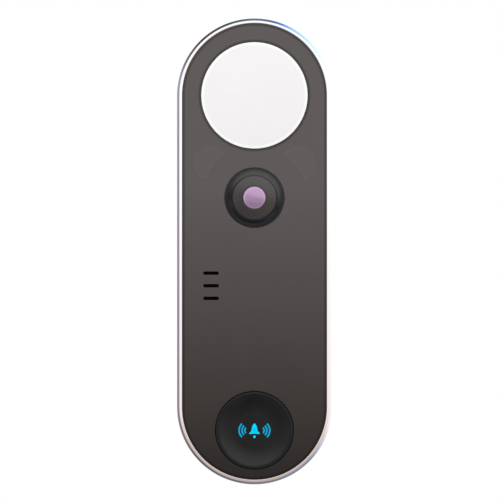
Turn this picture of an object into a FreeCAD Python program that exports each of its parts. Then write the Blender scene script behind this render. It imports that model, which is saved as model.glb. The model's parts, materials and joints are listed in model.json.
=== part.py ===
"""Video door station for a wall: a slim pill-shaped outdoor unit with a motion lens, a camera, sound slots
and a bell push, hung on a pressed steel wall bracket.

Frame: the wall is the plane Y = 0 and the front faces -Y. +Z is up and +X is to the right, seen from the front.
The origin is the middle of the bracket's face on the wall. Every "depth" below is the distance from the wall,
so depth d lies at Y = -d. All lengths are millimetres.
"""
import FreeCAD
import Part

import math
import os

from FreeCAD import Vector

# Overall
body_width = 46.5
body_height = 140.0
body_depth = 28.0            # wall to the front of the panel

# Fits
slide_gap = 0.5              # free space around what slides by hand
part_gap = 0.1               # between fixed neighbours
press_gap = 0.05             # radial, around a shaft that moves
overcut = 1.0                # how far a cut runs on into free space

# Wall bracket, pressed from steel sheet
sheet_t = 1.5
bracket_side_gap = 1.65      # to the pocket's wall
bend_r = 0.5
wall_hole_r = 2.25
wall_hole_from_end = 30.0
cable_window_width = 12.0
cable_window_height = 16.0
cable_window_rise = 2.5      # its middle above the terminals
window_corner = 2.0
hook_width = 6.0
hook_from_side = 12.45
hook_from_top = 34.0         # top face of the upper arms
hook_above_lug = 11.0        # top face of the lower arms
hook_lip = 3.5
lug_width = 9.0
lug_from_bottom = 13.0

# Rear housing
housing_rim_inset = 0.3      # outline inside the body's own outline, at the rim
housing_back_inset = 1.3     # and at the back, so that the sides taper
back_round = 1.4
skirt_back = 0.6             # shadow gap to the wall
pocket_depth = 6.0           # depth of the floor's back face
floor_t = 1.8
cavity_inset = 3.4
pocket_inset = 3.6
front_depth = 6.4            # from the front of the panel back to the parting plane of the two housings
floor_rib_t = 1.0
floor_rib_height = 1.4
floor_rib_above_lens = 9.25
floor_rib_above_camera = 9.9
floor_rib_below_terminals = 10.5

# Seal between the housings
seal_width = 0.8
seal_height = 1.0
seal_inset = 1.95
seal_squeeze = 0.1           # gap between the two housings, filled by the seal

# Polished frame round the front
frame_face = 1.5
frame_round = 1.2
frame_lip = 1.1
frame_lip_t = 1.3
frame_parting = 0.15

# Front panel
panel_t = 2.0
panel_gap = 0.08
panel_edge = 0.2
tape_t = 0.25
tape_inset = 0.6

# Chassis behind the panel
chassis_t = 2.0
tongue_t = 1.5
tongue_reach = 2.9
tongue_gap = 0.15

# Motion lens and what it looks onto
motion_margin = 7.3          # from the lens to the body's edge, all round its top half
motion_wall = 1.0
motion_flange = 1.3
motion_flange_t = 1.0
motion_stand = 0.45          # how far the rim stands out of the panel
motion_crown = 0.8
motion_round = 0.45
fresnel_rings = 8
fresnel_pitch = 1.6
fresnel_depth = 0.35
shroud_wall = 1.0
shroud_throat_r = 6.5
shroud_throat_height = 1.6
sensor_can_r = 4.6
sensor_can_height = 4.2
sensor_window = 4.0
sensor_brim_r = 5.4
sensor_brim_t = 0.5
sensor_window_sink = 0.25

# Camera
camera_drop = 30.65          # below the motion lens
ring_r = 8.95
ring_bore_r = 6.65
ring_crest = 1.0             # how far the ring's crest stands out of the panel
ring_flange = 1.35
ring_flange_t = 0.8
ring_seal_t = 0.4
barrel_head_r = 6.5
barrel_thread_r = 6.0
barrel_stand = 0.3           # barrel's back end above the mount's plate
barrel_edge = 0.4            # panel front down to the shoulder of the nose
barrel_head_length = 5.7     # from that shoulder back to the thread
nose_r = 3.75
nose_height = 0.85
nose_bulge = 0.12
front_lens_r = 3.35
front_lens_seat = 1.1        # panel front down to the front lens's seat
front_lens_dome = 0.9
lens_bore_r = 4.6
lens_ledge_r = 2.6
lens_ledge_t = 0.7
inner_lens_t = 2.0
middle_lens_bulge = 0.4
rear_lens_bulge = 0.5
spacer_wall = 0.8
mount_width = 21.2
mount_height = 16.0
mount_plate_t = 1.5
mount_boss_r = 7.6
mount_boss_gap = 0.3         # from the boss to the barrel's head
filter_housing_t = 3.3
filter_slot_t = 1.3
filter_slot_height = 8.2
filter_frame_t = 1.1
filter_frame_height = 7.6
filter_pitch = 6.2           # from one glass to the next, and the slider's travel
filter_glass_r = 2.5
filter_rim = 0.6
optic_bore_r = 3.4
coil_size = (8.0, 3.4, 2.9)  # along X, Z and the depth
coil_waist = 4.0
coil_sink = 0.7
image_sensor_size = (7.2, 6.4, 1.1)
image_sensor_rim = 0.8
image_sensor_sink = 0.35
mount_screw_x = 8.8
mount_screw_drop = 6.4
mount_corner = 1.0

# Infrared windows beside the camera, and the lamp board behind them
ir_from_side = 10.15
ir_above_camera = 10.3
ir_r = 5.55
ir_inner_r = 15.3            # hollow side, an arc about the camera's axis
ir_corner = 0.6
ir_board_t = 1.0
ir_board_gap = 1.85          # to the chassis plate
ir_board_side_gap = 5.75     # to the body's own side
ir_board_above_camera = 4.8
ir_board_height = 8.7
ir_board_notch_r = 10.9
ir_led_size = 3.0
ir_led_t = 0.8
ir_led_dome_r = 1.2
ir_led_dome_t = 0.6
ir_led_offset_x = 1.1
ir_led_offset_z = 1.9
ir_post_x = 6.4
ir_post_above_camera = 11.1
ir_screw_bite = 1.1

# Sound slots and the loudspeaker behind them
slot_length = 4.7
slot_height = 1.0
slot_pitch = 3.78
slot_count = 3
slot_from_side = 10.25
slot_drop = 26.4             # middle slot below the camera
mesh_margin = 1.0
mesh_t = 0.2
speaker_from_side = 14.25
speaker_r = 8.95
speaker_height = 4.15
speaker_well_wall = 1.2
speaker_well_height = 5.2
speaker_gasket_t = 0.6
magnet_r = 5.0
magnet_height = 3.0
basket_t = 1.0
basket_waist = 1.3
basket_shoulder = 1.2
basket_flare = 0.6
basket_rim = 0.65
basket_rim_height = 0.75
cone_t = 0.3
cone_depth = 1.3
cone_roll = 0.8
dust_cap_r = 2.6
dust_cap_height = 0.7
contact_width = 1.2
contact_t = 0.3
contact_spread = 2.2
contact_foot = 3.0

# Bell push
button_from_bottom = 16.35
button_r = 11.45
button_hole_gap = 0.35       # gap between the push and the panel's hole
button_flange = 0.85
button_flange_t = 1.4
button_crest = 0.35          # how far the rim stands out of the panel
button_rim = 0.75            # width of the raised rim
button_rim_slope = 0.6       # from the rim in to the edge of the dish
button_inner_round = (0.05, 0.16)
button_dish = 0.55           # panel front down to the bottom of the dish
button_wall = 1.45
button_travel = 0.6
button_key_width = 1.8
button_key_height = 0.75
guide_t = 1.2
guide_margin = 1.95          # push's radius less the light guide's
guide_post_r = 1.6
well_wall = 1.2
well_narrow = 1.3            # how much narrower the well is below the flange of the push
well_floor_t = 1.2
well_floor_drop = 1.0        # below the end of the light guide's post
well_opening_r = 8.0
membrane_rim_t = 1.2
membrane_rim_width = 2.2
membrane_web_t = 0.5
membrane_hub_r = 2.4
membrane_hub_t = 1.2
membrane_rise = 0.36         # how far the web starts up the rim
switch_travel = 0.3
switch_size = 6.0
switch_body_t = 3.4
switch_plunger_r = 1.75
switch_plunger_reach = 1.1
switch_plunger_bevel = 0.25
button_screw_bite = 3.0
button_board_t = 1.2
button_board_r = 9.6
button_post_r = 1.6
button_post_offset = 7.4
bell_led_size = (1.6, 1.2, 0.6)
bell_led_ring_r = 5.2
bell_led_count = 4

# Main board
board_t = 1.6
board_stand = 3.4            # from the housing's floor to the board
board_gap = 0.6
board_post_r = 2.2
board_post_from_side = 8.75
board_post_below_camera = 12.6
board_post_below_slots = 19.7
board_screw_bite = 4.0
link_size = (8.0, 2.6)
link_height = 1.375          # from the main board to the button board
link_below_push = 7.35
pin_size = 0.64
pin_pitch = 2.0
pin_count = 4
pin_base_t = 2.4
pin_above_camera = 12.2
processor_size = (15.0, 14.0, 2.0)
processor_from_side = 13.85
processor_below_slots = 1.2
vent_r = 0.5
vent_pitch = 3.0
vent_rise = 4.2
vent_sink = 0.6
radio_size = (12.0, 10.0, 2.2)
radio_x = 6.4
radio_above_push = 15.85
radio_board_t = 0.8
radio_shield_size = (8.4, 8.8)
choke_size = (6.0, 6.0, 3.0)
choke_from_side = 12.75
choke_above_camera = 15.4
choke_ring = (2.5, 1.3)      # outer and inner radius of the winding's window
choke_sink = 1.2
capacitor_r = 2.6
capacitor_height = 4.2
capacitor_bevel = 0.4
capacitor_xs = (-8.0, -2.4)
capacitor_above_push = 16.25

# Terminals for the two wires from the wall
terminal_x = 6.0
terminal_below_slots = 3.2
terminal_post_r = 2.6
terminal_plate_size = 7.0
terminal_plate_t = 0.8
terminal_head_r = 3.1
terminal_head_height = 1.6
terminal_shank_r = 1.5

# Screws
housing_screw_from_side = 6.05
housing_screw_below_lens = 12.25
housing_screw_above_push = 17.65
housing_screw_bite = 6.0
housing_head_r = 2.375
housing_head_height = 1.6
housing_boss_r = 2.8
housing_post_r = 2.4
housing_boss_height = 6.2
housing_shank_r = 1.25
small_shank_r = 0.9
small_head_r = 1.7
small_head_height = 0.9
lock_shank_r = 1.5
lock_head_r = 2.1
lock_head_height = 1.9
lock_length = 7.0
insert_r = 2.05
lock_boss_width = 7.6
lock_boss_height = 6.0

# Microphone, on the back of the main board
microphone_size = (3.8, 3.0, 1.1)
microphone_port_r = 0.6
microphone_port_rise = 1.2   # from the housing's floor
boot_width = 5.4
boot_height = 5.2

# Reset button, reached from the back when the unit is off its bracket
reset_below_camera = 14.1
reset_r = 1.5
reset_nub_r = 0.9
reset_flange_r = 2.4
reset_flange_t = 0.6
reset_travel = 0.3
reset_switch_size = 4.0
reset_switch_t = 1.6
reset_switch_nose = 0.3

# Places and outlines that follow from the sizes above
body_side = body_width / 2
body_top = body_height / 2
motion_z = body_top - body_side
motion_r = body_side - motion_margin
camera_z = motion_z - camera_drop
button_z = button_from_bottom - body_top
slot_x = slot_from_side - body_side
slot_z = camera_z - slot_drop
speaker_x = speaker_from_side - body_side
ir_x = body_side - ir_from_side
ir_z = camera_z + ir_above_camera
terminal_z = slot_z - terminal_below_slots
cable_window_z = terminal_z + cable_window_rise
wall_hole_z = body_top - wall_hole_from_end
lug_top_z = lug_from_bottom - body_top
hook_x = body_side - hook_from_side
hook_zs = (body_top - hook_from_top, lug_top_z + hook_above_lug)
floor_rib_zs = (
    motion_z + floor_rib_above_lens,
    camera_z + floor_rib_above_camera,
    terminal_z - floor_rib_below_terminals,
)
reset_at = (0, camera_z - reset_below_camera)
choke_x = choke_from_side - body_side
guide_r = button_r - guide_margin
floor_front = pocket_depth + floor_t
housing_boss_top = floor_front + housing_boss_height
microphone_port_depth = floor_front + microphone_port_rise
lug_reach = pocket_depth - 2 * part_gap
lock_depth = lug_reach - insert_r
panel_back = body_depth - panel_t
plate_front = panel_back - tape_t
plate_back = plate_front - chassis_t
parting_depth = body_depth - front_depth
flange_back = parting_depth + seal_squeeze
tongue_back = parting_depth - tongue_reach
tongue_outer_inset = cavity_inset + tongue_gap
tongue_inner_inset = tongue_outer_inset + tongue_t
panel_inset = frame_face + panel_gap
lip_inset = frame_face + frame_lip
lip_back = plate_front - frame_lip_t
chassis_inset = frame_face + press_gap
board_depth = floor_front + board_stand
board_front = board_depth + board_t
board_inset = cavity_inset + board_gap
lift_travel = hook_lip + slide_gap
hook_reach = floor_front + 2 * part_gap + sheet_t
well_r = button_r + button_flange + 2 * part_gap
well_low_r = well_r - well_narrow
well_step = panel_back - button_flange_t - button_travel - slide_gap
mount_back = board_front + filter_housing_t
barrel_back = mount_back + barrel_stand
barrel_shoulder = body_depth - barrel_edge - barrel_head_length
mount_top = barrel_shoulder - mount_boss_gap
ir_board_depth = plate_back - ir_board_gap - ir_board_t
button_board_back = board_front + link_height
button_board_front = button_board_back + button_board_t
plunger_front = button_board_front + switch_body_t + switch_plunger_reach
switch_gap = button_travel - switch_travel + part_gap / 4
hub_back = plunger_front + switch_gap
guide_post_end = hub_back + membrane_hub_t
guide_front = body_depth - button_dish - button_wall
well_floor_front = guide_post_end - well_floor_drop
well_floor_depth = well_floor_front - well_floor_t
housing_screw_points = [
    (side * (body_side - housing_screw_from_side), z)
    for z in (motion_z - housing_screw_below_lens, button_z + housing_screw_above_push)
    for side in (-1, 1)
]
board_screw_points = [
    (side * (body_side - board_post_from_side), z)
    for z in (camera_z - board_post_below_camera, slot_z - board_post_below_slots)
    for side in (-1, 1)
]
ir_screw_points = [(side * ir_post_x, camera_z + ir_post_above_camera) for side in (-1, 1)]
button_screw_points = [(side * button_post_offset, button_z) for side in (-1, 1)]
mount_screw_points = [(side * mount_screw_x, camera_z - side * mount_screw_drop) for side in (-1, 1)]
slot_field_height = slot_height + (slot_count - 1) * slot_pitch
slot_zs = [slot_z + (i - (slot_count - 1) / 2) * slot_pitch for i in range(slot_count)]


def pill_wire(inset, depth, shorten=0.0):
    """The body's outline, moved inwards by inset, with its two ends moved in by shorten."""
    r = body_side - inset
    h = motion_z - shorten
    y = -depth
    edges = [
        Part.makeLine(Vector(r, y, -h), Vector(r, y, h)),
        Part.Arc(Vector(r, y, h), Vector(0, y, h + r), Vector(-r, y, h)).toShape(),
        Part.makeLine(Vector(-r, y, h), Vector(-r, y, -h)),
        Part.Arc(Vector(-r, y, -h), Vector(0, y, -h - r), Vector(r, y, -h)).toShape(),
    ]
    return Part.Wire(edges)


def pill(inset, back, front, shorten=0.0):
    """A solid of the body's outline between two depths."""
    return Part.Face(pill_wire(inset, back, shorten)).extrude(Vector(0, back - front, 0))


def band(outer_inset, inner_inset, back, front):
    """A ring that follows the body's outline."""
    return pill(outer_inset, back, front).cut(pill(inner_inset, back, front))


def profile_edges(place, start, moves):
    """Edges of a closed profile. A move of two points is an arc through the first to the second."""
    edges = []
    here = start
    for move in list(moves) + [start]:
        if isinstance(move[0], tuple):
            middle, end = move
            edges.append(Part.Arc(place(here), place(middle), place(end)).toShape())
        else:
            end = move
            edges.append(Part.makeLine(place(here), place(end)))
        here = end
    return edges


def along_outline(start, *moves):
    """A solid whose section, given as (inset, depth) points, follows the body's outline."""
    edges = profile_edges(lambda p: Vector(body_side - p[0], -p[1], motion_z), start, moves)
    section = Part.Face(Part.Wire(edges))
    side = section.extrude(Vector(0, 0, -2 * motion_z))
    end = section.revolve(Vector(0, 0, motion_z), Vector(0, -1, 0), 180)
    other_side = side.copy()
    other_side.rotate(Vector(0, 0, 0), Vector(0, 1, 0), 180)
    other_end = end.copy()
    other_end.rotate(Vector(0, 0, 0), Vector(0, 1, 0), 180)
    return joined(side, end, other_side, other_end)


def quarter(start, end, bulge_to):
    """The middle point of a quarter-round from start to end that bulges towards a corner."""
    turn = 1 - math.sqrt(0.5)
    centre = (start[0] + end[0] - bulge_to[0], start[1] + end[1] - bulge_to[1])
    return tuple(corner + (middle - corner) * turn for corner, middle in zip(bulge_to, centre))


def rod(x, z, radius, back, front):
    """A round bar along the depth."""
    return Part.makeCylinder(radius, front - back, Vector(x, -back, z), Vector(0, -1, 0))


def tube(x, z, outer_r, inner_r, back, front):
    return rod(x, z, outer_r, back, front).cut(rod(x, z, inner_r, back, front))


def bevelled_rod(x, z, radius, back, front, bevel):
    """A round bar along the depth with a bevel round its front end."""
    return turned(x, z, (0, back), (radius, back), (radius, front - bevel), (radius - bevel, front), (0, front))


def upright_rod(x, depth, radius, z_low, z_high):
    """A round bar along Z."""
    return Part.makeCylinder(radius, z_high - z_low, Vector(x, -depth, z_low), Vector(0, 0, 1))


def block(x_low, x_high, z_low, z_high, back, front):
    return Part.makeBox(x_high - x_low, front - back, z_high - z_low, Vector(x_low, -front, z_low))


def slab(x, z, width, height, back, front, corner=0.0):
    """A block centred on x and z, with its four corners rounded when seen from the front."""
    shape = block(x - width / 2, x + width / 2, z - height / 2, z + height / 2, back, front)
    if corner <= 0:
        return shape
    along_depth = [e for e in shape.Edges if abs(e.tangentAt(e.FirstParameter).y) > 0.9]
    return shape.makeFillet(corner, along_depth)


def turned(x, z, start, *moves):
    """A solid of revolution about the depth axis through x and z. The profile is given as (radius, depth) points;
    a move of two points is an arc through the first to the second."""
    edges = profile_edges(lambda p: Vector(p[0], -p[1], 0), start, moves)
    solid = Part.Face(Part.Wire(edges)).revolve(Vector(0, 0, 0), Vector(0, 1, 0), 360)
    solid.translate(Vector(x, 0, z))
    return solid


def arc_middle(start, end, rise):
    """The middle point of an arc between two (radius, depth) points that stands rise off their chord."""
    length = math.hypot(end[0] - start[0], end[1] - start[1])
    across = (-(end[1] - start[1]) / length, (end[0] - start[0]) / length)
    return (start[0] + end[0]) / 2 + across[0] * rise, (start[1] + end[1]) / 2 + across[1] * rise


def cap_middle(edge, apex):
    """The middle point of a ball-shaped cap's arc, from a (radius, depth) edge to an apex on the axis."""
    rise = apex[1] - edge[1]
    ball_r = (edge[0] ** 2 + rise ** 2) / (2 * rise)
    half = edge[0] / 2
    centre = apex[1] - ball_r
    return half, centre + math.copysign(math.sqrt(ball_r ** 2 - half ** 2), ball_r)


def joined(*shapes):
    return shapes[0].fuse(list(shapes[1:])).removeSplitter()


def group(shapes):
    """Separate solids that share one node."""
    return Part.makeCompound(shapes)


def screw(x, z, shank_r, head_r, head_height, seat, length):
    """A pan-head screw that is driven from the wall side: its head stands behind seat, its shank runs forward."""
    tip = seat + length
    bevel = shank_r * 0.4
    body = turned(
        x, z,
        (0, seat - head_height),
        (head_r * 0.72, seat - head_height),
        (head_r, seat - head_height * 0.55),
        (head_r, seat),
        (shank_r, seat),
        (shank_r, tip - bevel),
        (shank_r - bevel, tip),
        (0, tip),
    )
    arm = head_r * 1.1
    slot = head_r * 0.26
    recess_front = seat - head_height * 0.4
    cross = joined(
        slab(x, z, arm, slot, seat - head_height, recess_front),
        slab(x, z, slot, arm, seat - head_height, recess_front),
    )
    return body.cut(cross)


def small_screws(points, seat, length):
    return group([
        screw(x, z, small_shank_r, small_head_r, small_head_height, seat, length) for x, z in points
    ])


def bent_hook(x, z_top):
    """A tab bent out of the sheet, with its tip turned up behind the housing's floor."""
    z_bottom = z_top - sheet_t
    outer = bend_r + sheet_t
    turn = 1 - math.sqrt(0.5)
    lip_top = z_top + hook_lip
    y_tip = -hook_reach
    y_inside = -(hook_reach - sheet_t)
    left = x - hook_width / 2

    def p(y, z):
        return Vector(left, y, z)

    edges = [
        Part.makeLine(p(0, z_bottom), p(y_tip + outer, z_bottom)),
        Part.Arc(
            p(y_tip + outer, z_bottom),
            p(y_tip + outer * turn, z_bottom + outer * turn),
            p(y_tip, z_bottom + outer),
        ).toShape(),
        Part.makeLine(p(y_tip, z_bottom + outer), p(y_tip, lip_top)),
        Part.makeLine(p(y_tip, lip_top), p(y_inside, lip_top)),
        Part.makeLine(p(y_inside, lip_top), p(y_inside, z_top + bend_r)),
        Part.Arc(
            p(y_inside, z_top + bend_r),
            p(y_inside + bend_r * turn, z_top + bend_r * turn),
            p(y_inside + bend_r, z_top),
        ).toShape(),
        Part.makeLine(p(y_inside + bend_r, z_top), p(0, z_top)),
        Part.makeLine(p(0, z_top), p(0, z_bottom)),
    ]
    return Part.Face(Part.Wire(edges)).extrude(Vector(hook_width, 0, 0))


def wall_bracket():
    """Steel plate with four hooks, a lug for the security screw, wall screw holes and the cable's window."""
    inset = pocket_inset + bracket_side_gap
    end = body_top - pocket_inset - lift_travel - slide_gap
    plate = pill(inset, 0, sheet_t, body_top - inset - end)
    cuts = [slab(0, cable_window_z, cable_window_width, cable_window_height, 0, sheet_t, window_corner)]
    for side in (-1, 1):
        cuts.append(rod(0, side * wall_hole_z, wall_hole_r, 0, sheet_t))
    hooks = []
    unfolded = hook_reach + hook_lip
    for z in hook_zs:
        for side in (-1, 1):
            x = side * hook_x
            reach = hook_width / 2 + slide_gap
            cuts.append(block(x - reach, x + reach, z, z + unfolded, 0, sheet_t))
            hooks.append(bent_hook(x, z))
    lug_half = lug_width / 2
    boss_top = lug_top_z + part_gap * 2 + lock_boss_height
    cuts.append(
        block(-lug_half, lug_half, lug_top_z, boss_top + lift_travel + slide_gap, 0, sheet_t)
    )
    lug = block(-lug_half, lug_half, lug_top_z - sheet_t, lug_top_z, 0, lug_reach)
    corners = [
        e for e in lug.Edges
        if abs(e.BoundBox.YMin + lug_reach) < 1e-4 and e.BoundBox.ZLength > sheet_t / 2
        and e.BoundBox.XLength < 1e-3
    ]
    lug = lug.makeFillet(sheet_t, corners)
    plate = joined(plate.cut(cuts), lug, *hooks)
    return plate.cut([
        upright_rod(0, lock_depth, lock_shank_r + part_gap, lug_top_z - 2 * sheet_t, lug_top_z + overcut),
        upright_rod(0, lock_depth, lock_head_r + part_gap, -body_top, lug_top_z - sheet_t),
    ])


def security_screw():
    """Stands upright under the lug and holds the unit down on its hooks."""
    upright = screw(0, 0, lock_shank_r, lock_head_r, lock_head_height, 0, lock_length)
    upright.rotate(Vector(0, 0, 0), Vector(1, 0, 0), -90)
    upright.translate(Vector(0, -lock_depth, lug_top_z - sheet_t))
    return upright


def lock_boss_z():
    low = lug_top_z + part_gap * 2
    return low, low + lock_boss_height


def security_insert():
    """Brass thread insert in the housing's lock boss."""
    low, high = lock_boss_z()
    outside = upright_rod(0, lock_depth, insert_r, low, high)
    return outside.cut(upright_rod(0, lock_depth, lock_shank_r + press_gap, low, high))


def rear_housing():
    """Moulded shell: a tapered tub with a floor, the bracket's pocket behind it and screw bosses inside."""
    centre = body_side
    corner = (housing_back_inset, skirt_back)
    across = (housing_back_inset + back_round, skirt_back)
    up = (housing_back_inset, skirt_back + back_round)
    tub = along_outline(
        (centre, skirt_back),
        across,
        (quarter(across, up, corner), up),
        (housing_rim_inset, parting_depth),
        (centre, parting_depth),
    )
    tub = tub.cut([
        pill(cavity_inset, floor_front, parting_depth),
        pill(pocket_inset, skirt_back, pocket_depth),
    ])
    groove_inner = seal_inset + seal_width
    tub = tub.cut(band(seal_inset, groove_inner, flange_back - seal_height, parting_depth))
    inside = pill(cavity_inset, floor_front, parting_depth)
    ribs = [
        block(-body_side, body_side, z - floor_rib_t / 2, z + floor_rib_t / 2,
              floor_front, floor_front + floor_rib_height).common(inside)
        for z in floor_rib_zs
    ]
    bosses = [
        rod(x, z, housing_boss_r, floor_front, housing_boss_top).common(pill(cavity_inset - part_gap, floor_front,
                                                                             housing_boss_top))
        for x, z in housing_screw_points
    ]
    boss_low, boss_high = lock_boss_z()
    lock_boss = block(-lock_boss_width / 2, lock_boss_width / 2, boss_low, boss_high,
                      lock_depth - insert_r - part_gap * 4, pocket_depth)
    tub = joined(tub, lock_boss, *ribs, *bosses)
    cuts = [rod(x, z, housing_shank_r + part_gap, pocket_depth, housing_boss_top) for x, z in housing_screw_points]
    slot_height_needed = lift_travel + sheet_t + slide_gap
    for z in hook_zs:
        for side in (-1, 1):
            x = side * hook_x
            reach = hook_width / 2 + slide_gap
            cuts.append(block(x - reach, x + reach, z - slot_height_needed, z, pocket_depth, floor_front))
            cuts.append(block(x - reach, x + reach, z, z + bend_r + part_gap, floor_front - bend_r, floor_front))
    for side in (-1, 1):
        cuts.append(rod(side * terminal_x, terminal_z, terminal_post_r, pocket_depth, floor_front))
    cuts.append(rod(*reset_at, reset_r + press_gap, pocket_depth, floor_front))
    cuts.append(upright_rod(0, lock_depth, insert_r, boss_low, boss_high))
    bottom = -body_top
    access_r = lock_head_r + part_gap * 3
    pocket_bottom = bottom + pocket_inset
    cuts.append(upright_rod(0, lock_depth, access_r, bottom, pocket_bottom + overcut))
    cuts.append(block(-access_r, access_r, bottom, pocket_bottom + overcut, 0, lock_depth))
    cuts.append(upright_rod(0, microphone_port_depth, microphone_port_r, bottom, bottom + cavity_inset + overcut))
    return tub.cut(cuts)


def housing_seal():
    """Silicone ring in the rear housing's rim, pressed by the chassis."""
    return band(seal_inset, seal_inset + seal_width, flange_back - seal_height, flange_back)


def front_frame():
    """Polished metal frame with a rounded outer edge and a lip that is held between panel and chassis."""
    back = parting_depth + frame_parting
    side = (0, body_depth - frame_round)
    top = (frame_round, body_depth)
    return along_outline(
        (0, back),
        side,
        (quarter(side, top, (0, body_depth)), top),
        (frame_face, body_depth),
        (frame_face, plate_front),
        (lip_inset, plate_front),
        (lip_inset, lip_back),
        (frame_face, lip_back),
        (frame_face, back),
    )


def ir_window(side, grow, back, front):
    """Outline of an infrared window: a round patch cut hollow by an arc about the camera."""
    patch = rod(side * ir_x, ir_z, ir_r + grow, back, front)
    patch = patch.cut(rod(0, camera_z, ir_inner_r - grow, back, front))
    tips = [e for e in patch.Edges if e.BoundBox.XLength < 1e-3 and e.BoundBox.ZLength < 1e-3]
    return patch.makeFillet(ir_corner + grow, tips)


def sound_slots(grow, back, front):
    """The three round-ended slots, one above the other."""
    slots = []
    for z in slot_zs:
        slots.append(slab(slot_x, z, slot_length + 2 * grow, slot_height + 2 * grow, back, front,
                          (slot_height + 2 * grow) * 0.49))
    return slots


def front_panel():
    """Smoked panel with its openings."""
    centre = body_side
    panel = along_outline(
        (centre, panel_back),
        (panel_inset, panel_back),
        (panel_inset, body_depth - panel_edge),
        (panel_inset + panel_edge, body_depth),
        (centre, body_depth),
    )
    cuts = [
        rod(0, motion_z, motion_r + part_gap, panel_back, body_depth),
        rod(0, camera_z, ring_r + part_gap, panel_back, body_depth),
        rod(0, button_z, button_r + button_hole_gap, panel_back, body_depth),
        ir_window(-1, press_gap, panel_back, body_depth),
        ir_window(1, press_gap, panel_back, body_depth),
    ]
    return panel.cut(cuts + sound_slots(0, panel_back, body_depth))


def panel_tape():
    """Double-sided foam tape that holds the panel on the chassis."""
    tape = pill(panel_inset + tape_inset, plate_front, panel_back)
    hold = -part_gap * 3
    cuts = [
        rod(0, motion_z, motion_r + part_gap * 2, plate_front, panel_back),
        rod(0, camera_z, ring_r + part_gap * 2, plate_front, panel_back),
        rod(0, button_z, well_r, plate_front, panel_back),
        key_way(),
        ir_window(-1, hold, plate_front, panel_back),
        ir_window(1, hold, plate_front, panel_back),
    ]
    return tape.cut(cuts + sound_slots(part_gap, plate_front, panel_back))


def chassis():
    """Moulded inner frame that carries panel, lens, camera ring, loudspeaker, bell push and boards."""
    plate = pill(chassis_inset, flange_back, plate_front)
    plate = plate.cut([
        pill(tongue_inner_inset, flange_back, plate_back),
        band(chassis_inset - press_gap, lip_inset, lip_back, plate_front),
        rod(0, motion_z, motion_r + motion_flange + part_gap, plate_front - motion_flange_t, plate_front),
        rod(0, motion_z, motion_r, plate_back, plate_front),
        rod(0, camera_z, ring_r + ring_flange + part_gap, plate_front - ring_flange_t - ring_seal_t, plate_front),
        rod(0, camera_z, ring_bore_r + ring_flange, plate_back, plate_front),
        ir_window(-1, -part_gap * 4, plate_back, plate_front),
        ir_window(1, -part_gap * 4, plate_back, plate_front),
        sound_mesh(),
        *sound_slots(part_gap, plate_back, plate_front),
    ])
    tongue = band(tongue_outer_inset, tongue_inner_inset, tongue_back, flange_back)
    speaker_well = tube(speaker_x, slot_z, speaker_r + speaker_well_wall, speaker_r + part_gap,
                        plate_back - speaker_well_height, plate_back)
    well = joined(
        rod(0, button_z, well_low_r + well_wall, well_floor_depth, plate_back),
        rod(0, button_z, well_r + well_wall, well_step - well_wall, plate_back),
    ).common(pill(tongue_outer_inset, well_floor_depth, plate_back))
    posts = [rod(x, z, housing_post_r, housing_boss_top, plate_back) for x, z in housing_screw_points]
    posts += [rod(x, z, board_post_r, board_front, plate_back) for x, z in board_screw_points]
    posts += [rod(x, z, button_post_r, ir_board_depth + ir_board_t, plate_back) for x, z in ir_screw_points]
    button_posts = [
        rod(x, z, button_post_r, button_board_front, well_floor_depth + well_floor_t / 2)
        for x, z in button_screw_points
    ]
    bores = [
        rod(0, button_z, well_low_r, well_floor_front, plate_front),
        rod(0, button_z, well_r, well_step, plate_front),
        rod(0, button_z, well_opening_r, well_floor_depth, well_floor_front),
        key_way(),
        rod(speaker_x, slot_z, speaker_r + part_gap, plate_back - speaker_well_height, plate_back),
    ]
    bores += [rod(x, z, housing_shank_r, housing_boss_top, plate_back) for x, z in housing_screw_points]
    bores += [rod(x, z, small_shank_r, board_front, plate_back) for x, z in board_screw_points]
    bores += [rod(x, z, small_shank_r, ir_board_depth, plate_back) for x, z in ir_screw_points]
    body = joined(plate, tongue, speaker_well, well, *posts).cut(bores)
    body = joined(body, *button_posts)
    return body.cut([rod(x, z, small_shank_r, button_board_front, well_floor_depth) for x, z in button_screw_points])


def key_way():
    """Groove in the button well that keeps the bell push upright."""
    half = button_key_width / 2 + press_gap * 2
    top = button_z + button_r + button_flange + button_key_height + part_gap * 2
    return block(-half, half, button_z + button_r, top, well_step, panel_back)


def motion_lens():
    """Opal lens: a thin crowned disc with a flange, and Fresnel rings on its inner face."""
    rim = body_depth + motion_stand
    flat_r = motion_r - motion_round
    crown = rim + motion_crown
    inner_r = motion_r - motion_wall
    inside = body_depth - motion_wall / 2
    back = plate_front - motion_flange_t
    corner = motion_round * (1 - math.sqrt(0.5))
    crown_middle = cap_middle((flat_r, rim), (0, crown))
    rings = []
    for i in range(1, fresnel_rings + 1):
        rise = fresnel_depth * i / fresnel_rings
        rings += [(i * fresnel_pitch, inside + rise), (i * fresnel_pitch, inside)]
    return turned(
        0, motion_z,
        (motion_r + motion_flange, back),
        (motion_r + motion_flange, plate_front),
        (motion_r, plate_front),
        (motion_r, rim - motion_round),
        ((motion_r - corner, rim - corner), (flat_r, rim)),
        (crown_middle, (0, crown)),
        (0, inside),
        *rings,
        (inner_r, inside),
        (inner_r, back),
    )


def motion_shroud():
    """Black cone that shades the motion sensor, standing on the main board inside the chassis opening."""
    wide = motion_r - part_gap
    top = plate_front - motion_flange_t
    throat_top = board_front + shroud_throat_height
    return turned(
        0, motion_z,
        (shroud_throat_r, board_front),
        (shroud_throat_r, throat_top),
        (wide, plate_back + chassis_t / 4),
        (wide, top),
        (wide - shroud_wall, top),
        (wide - shroud_wall, plate_back + chassis_t / 4),
        (shroud_throat_r - shroud_wall, throat_top),
        (shroud_throat_r - shroud_wall, board_front),
    )


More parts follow.
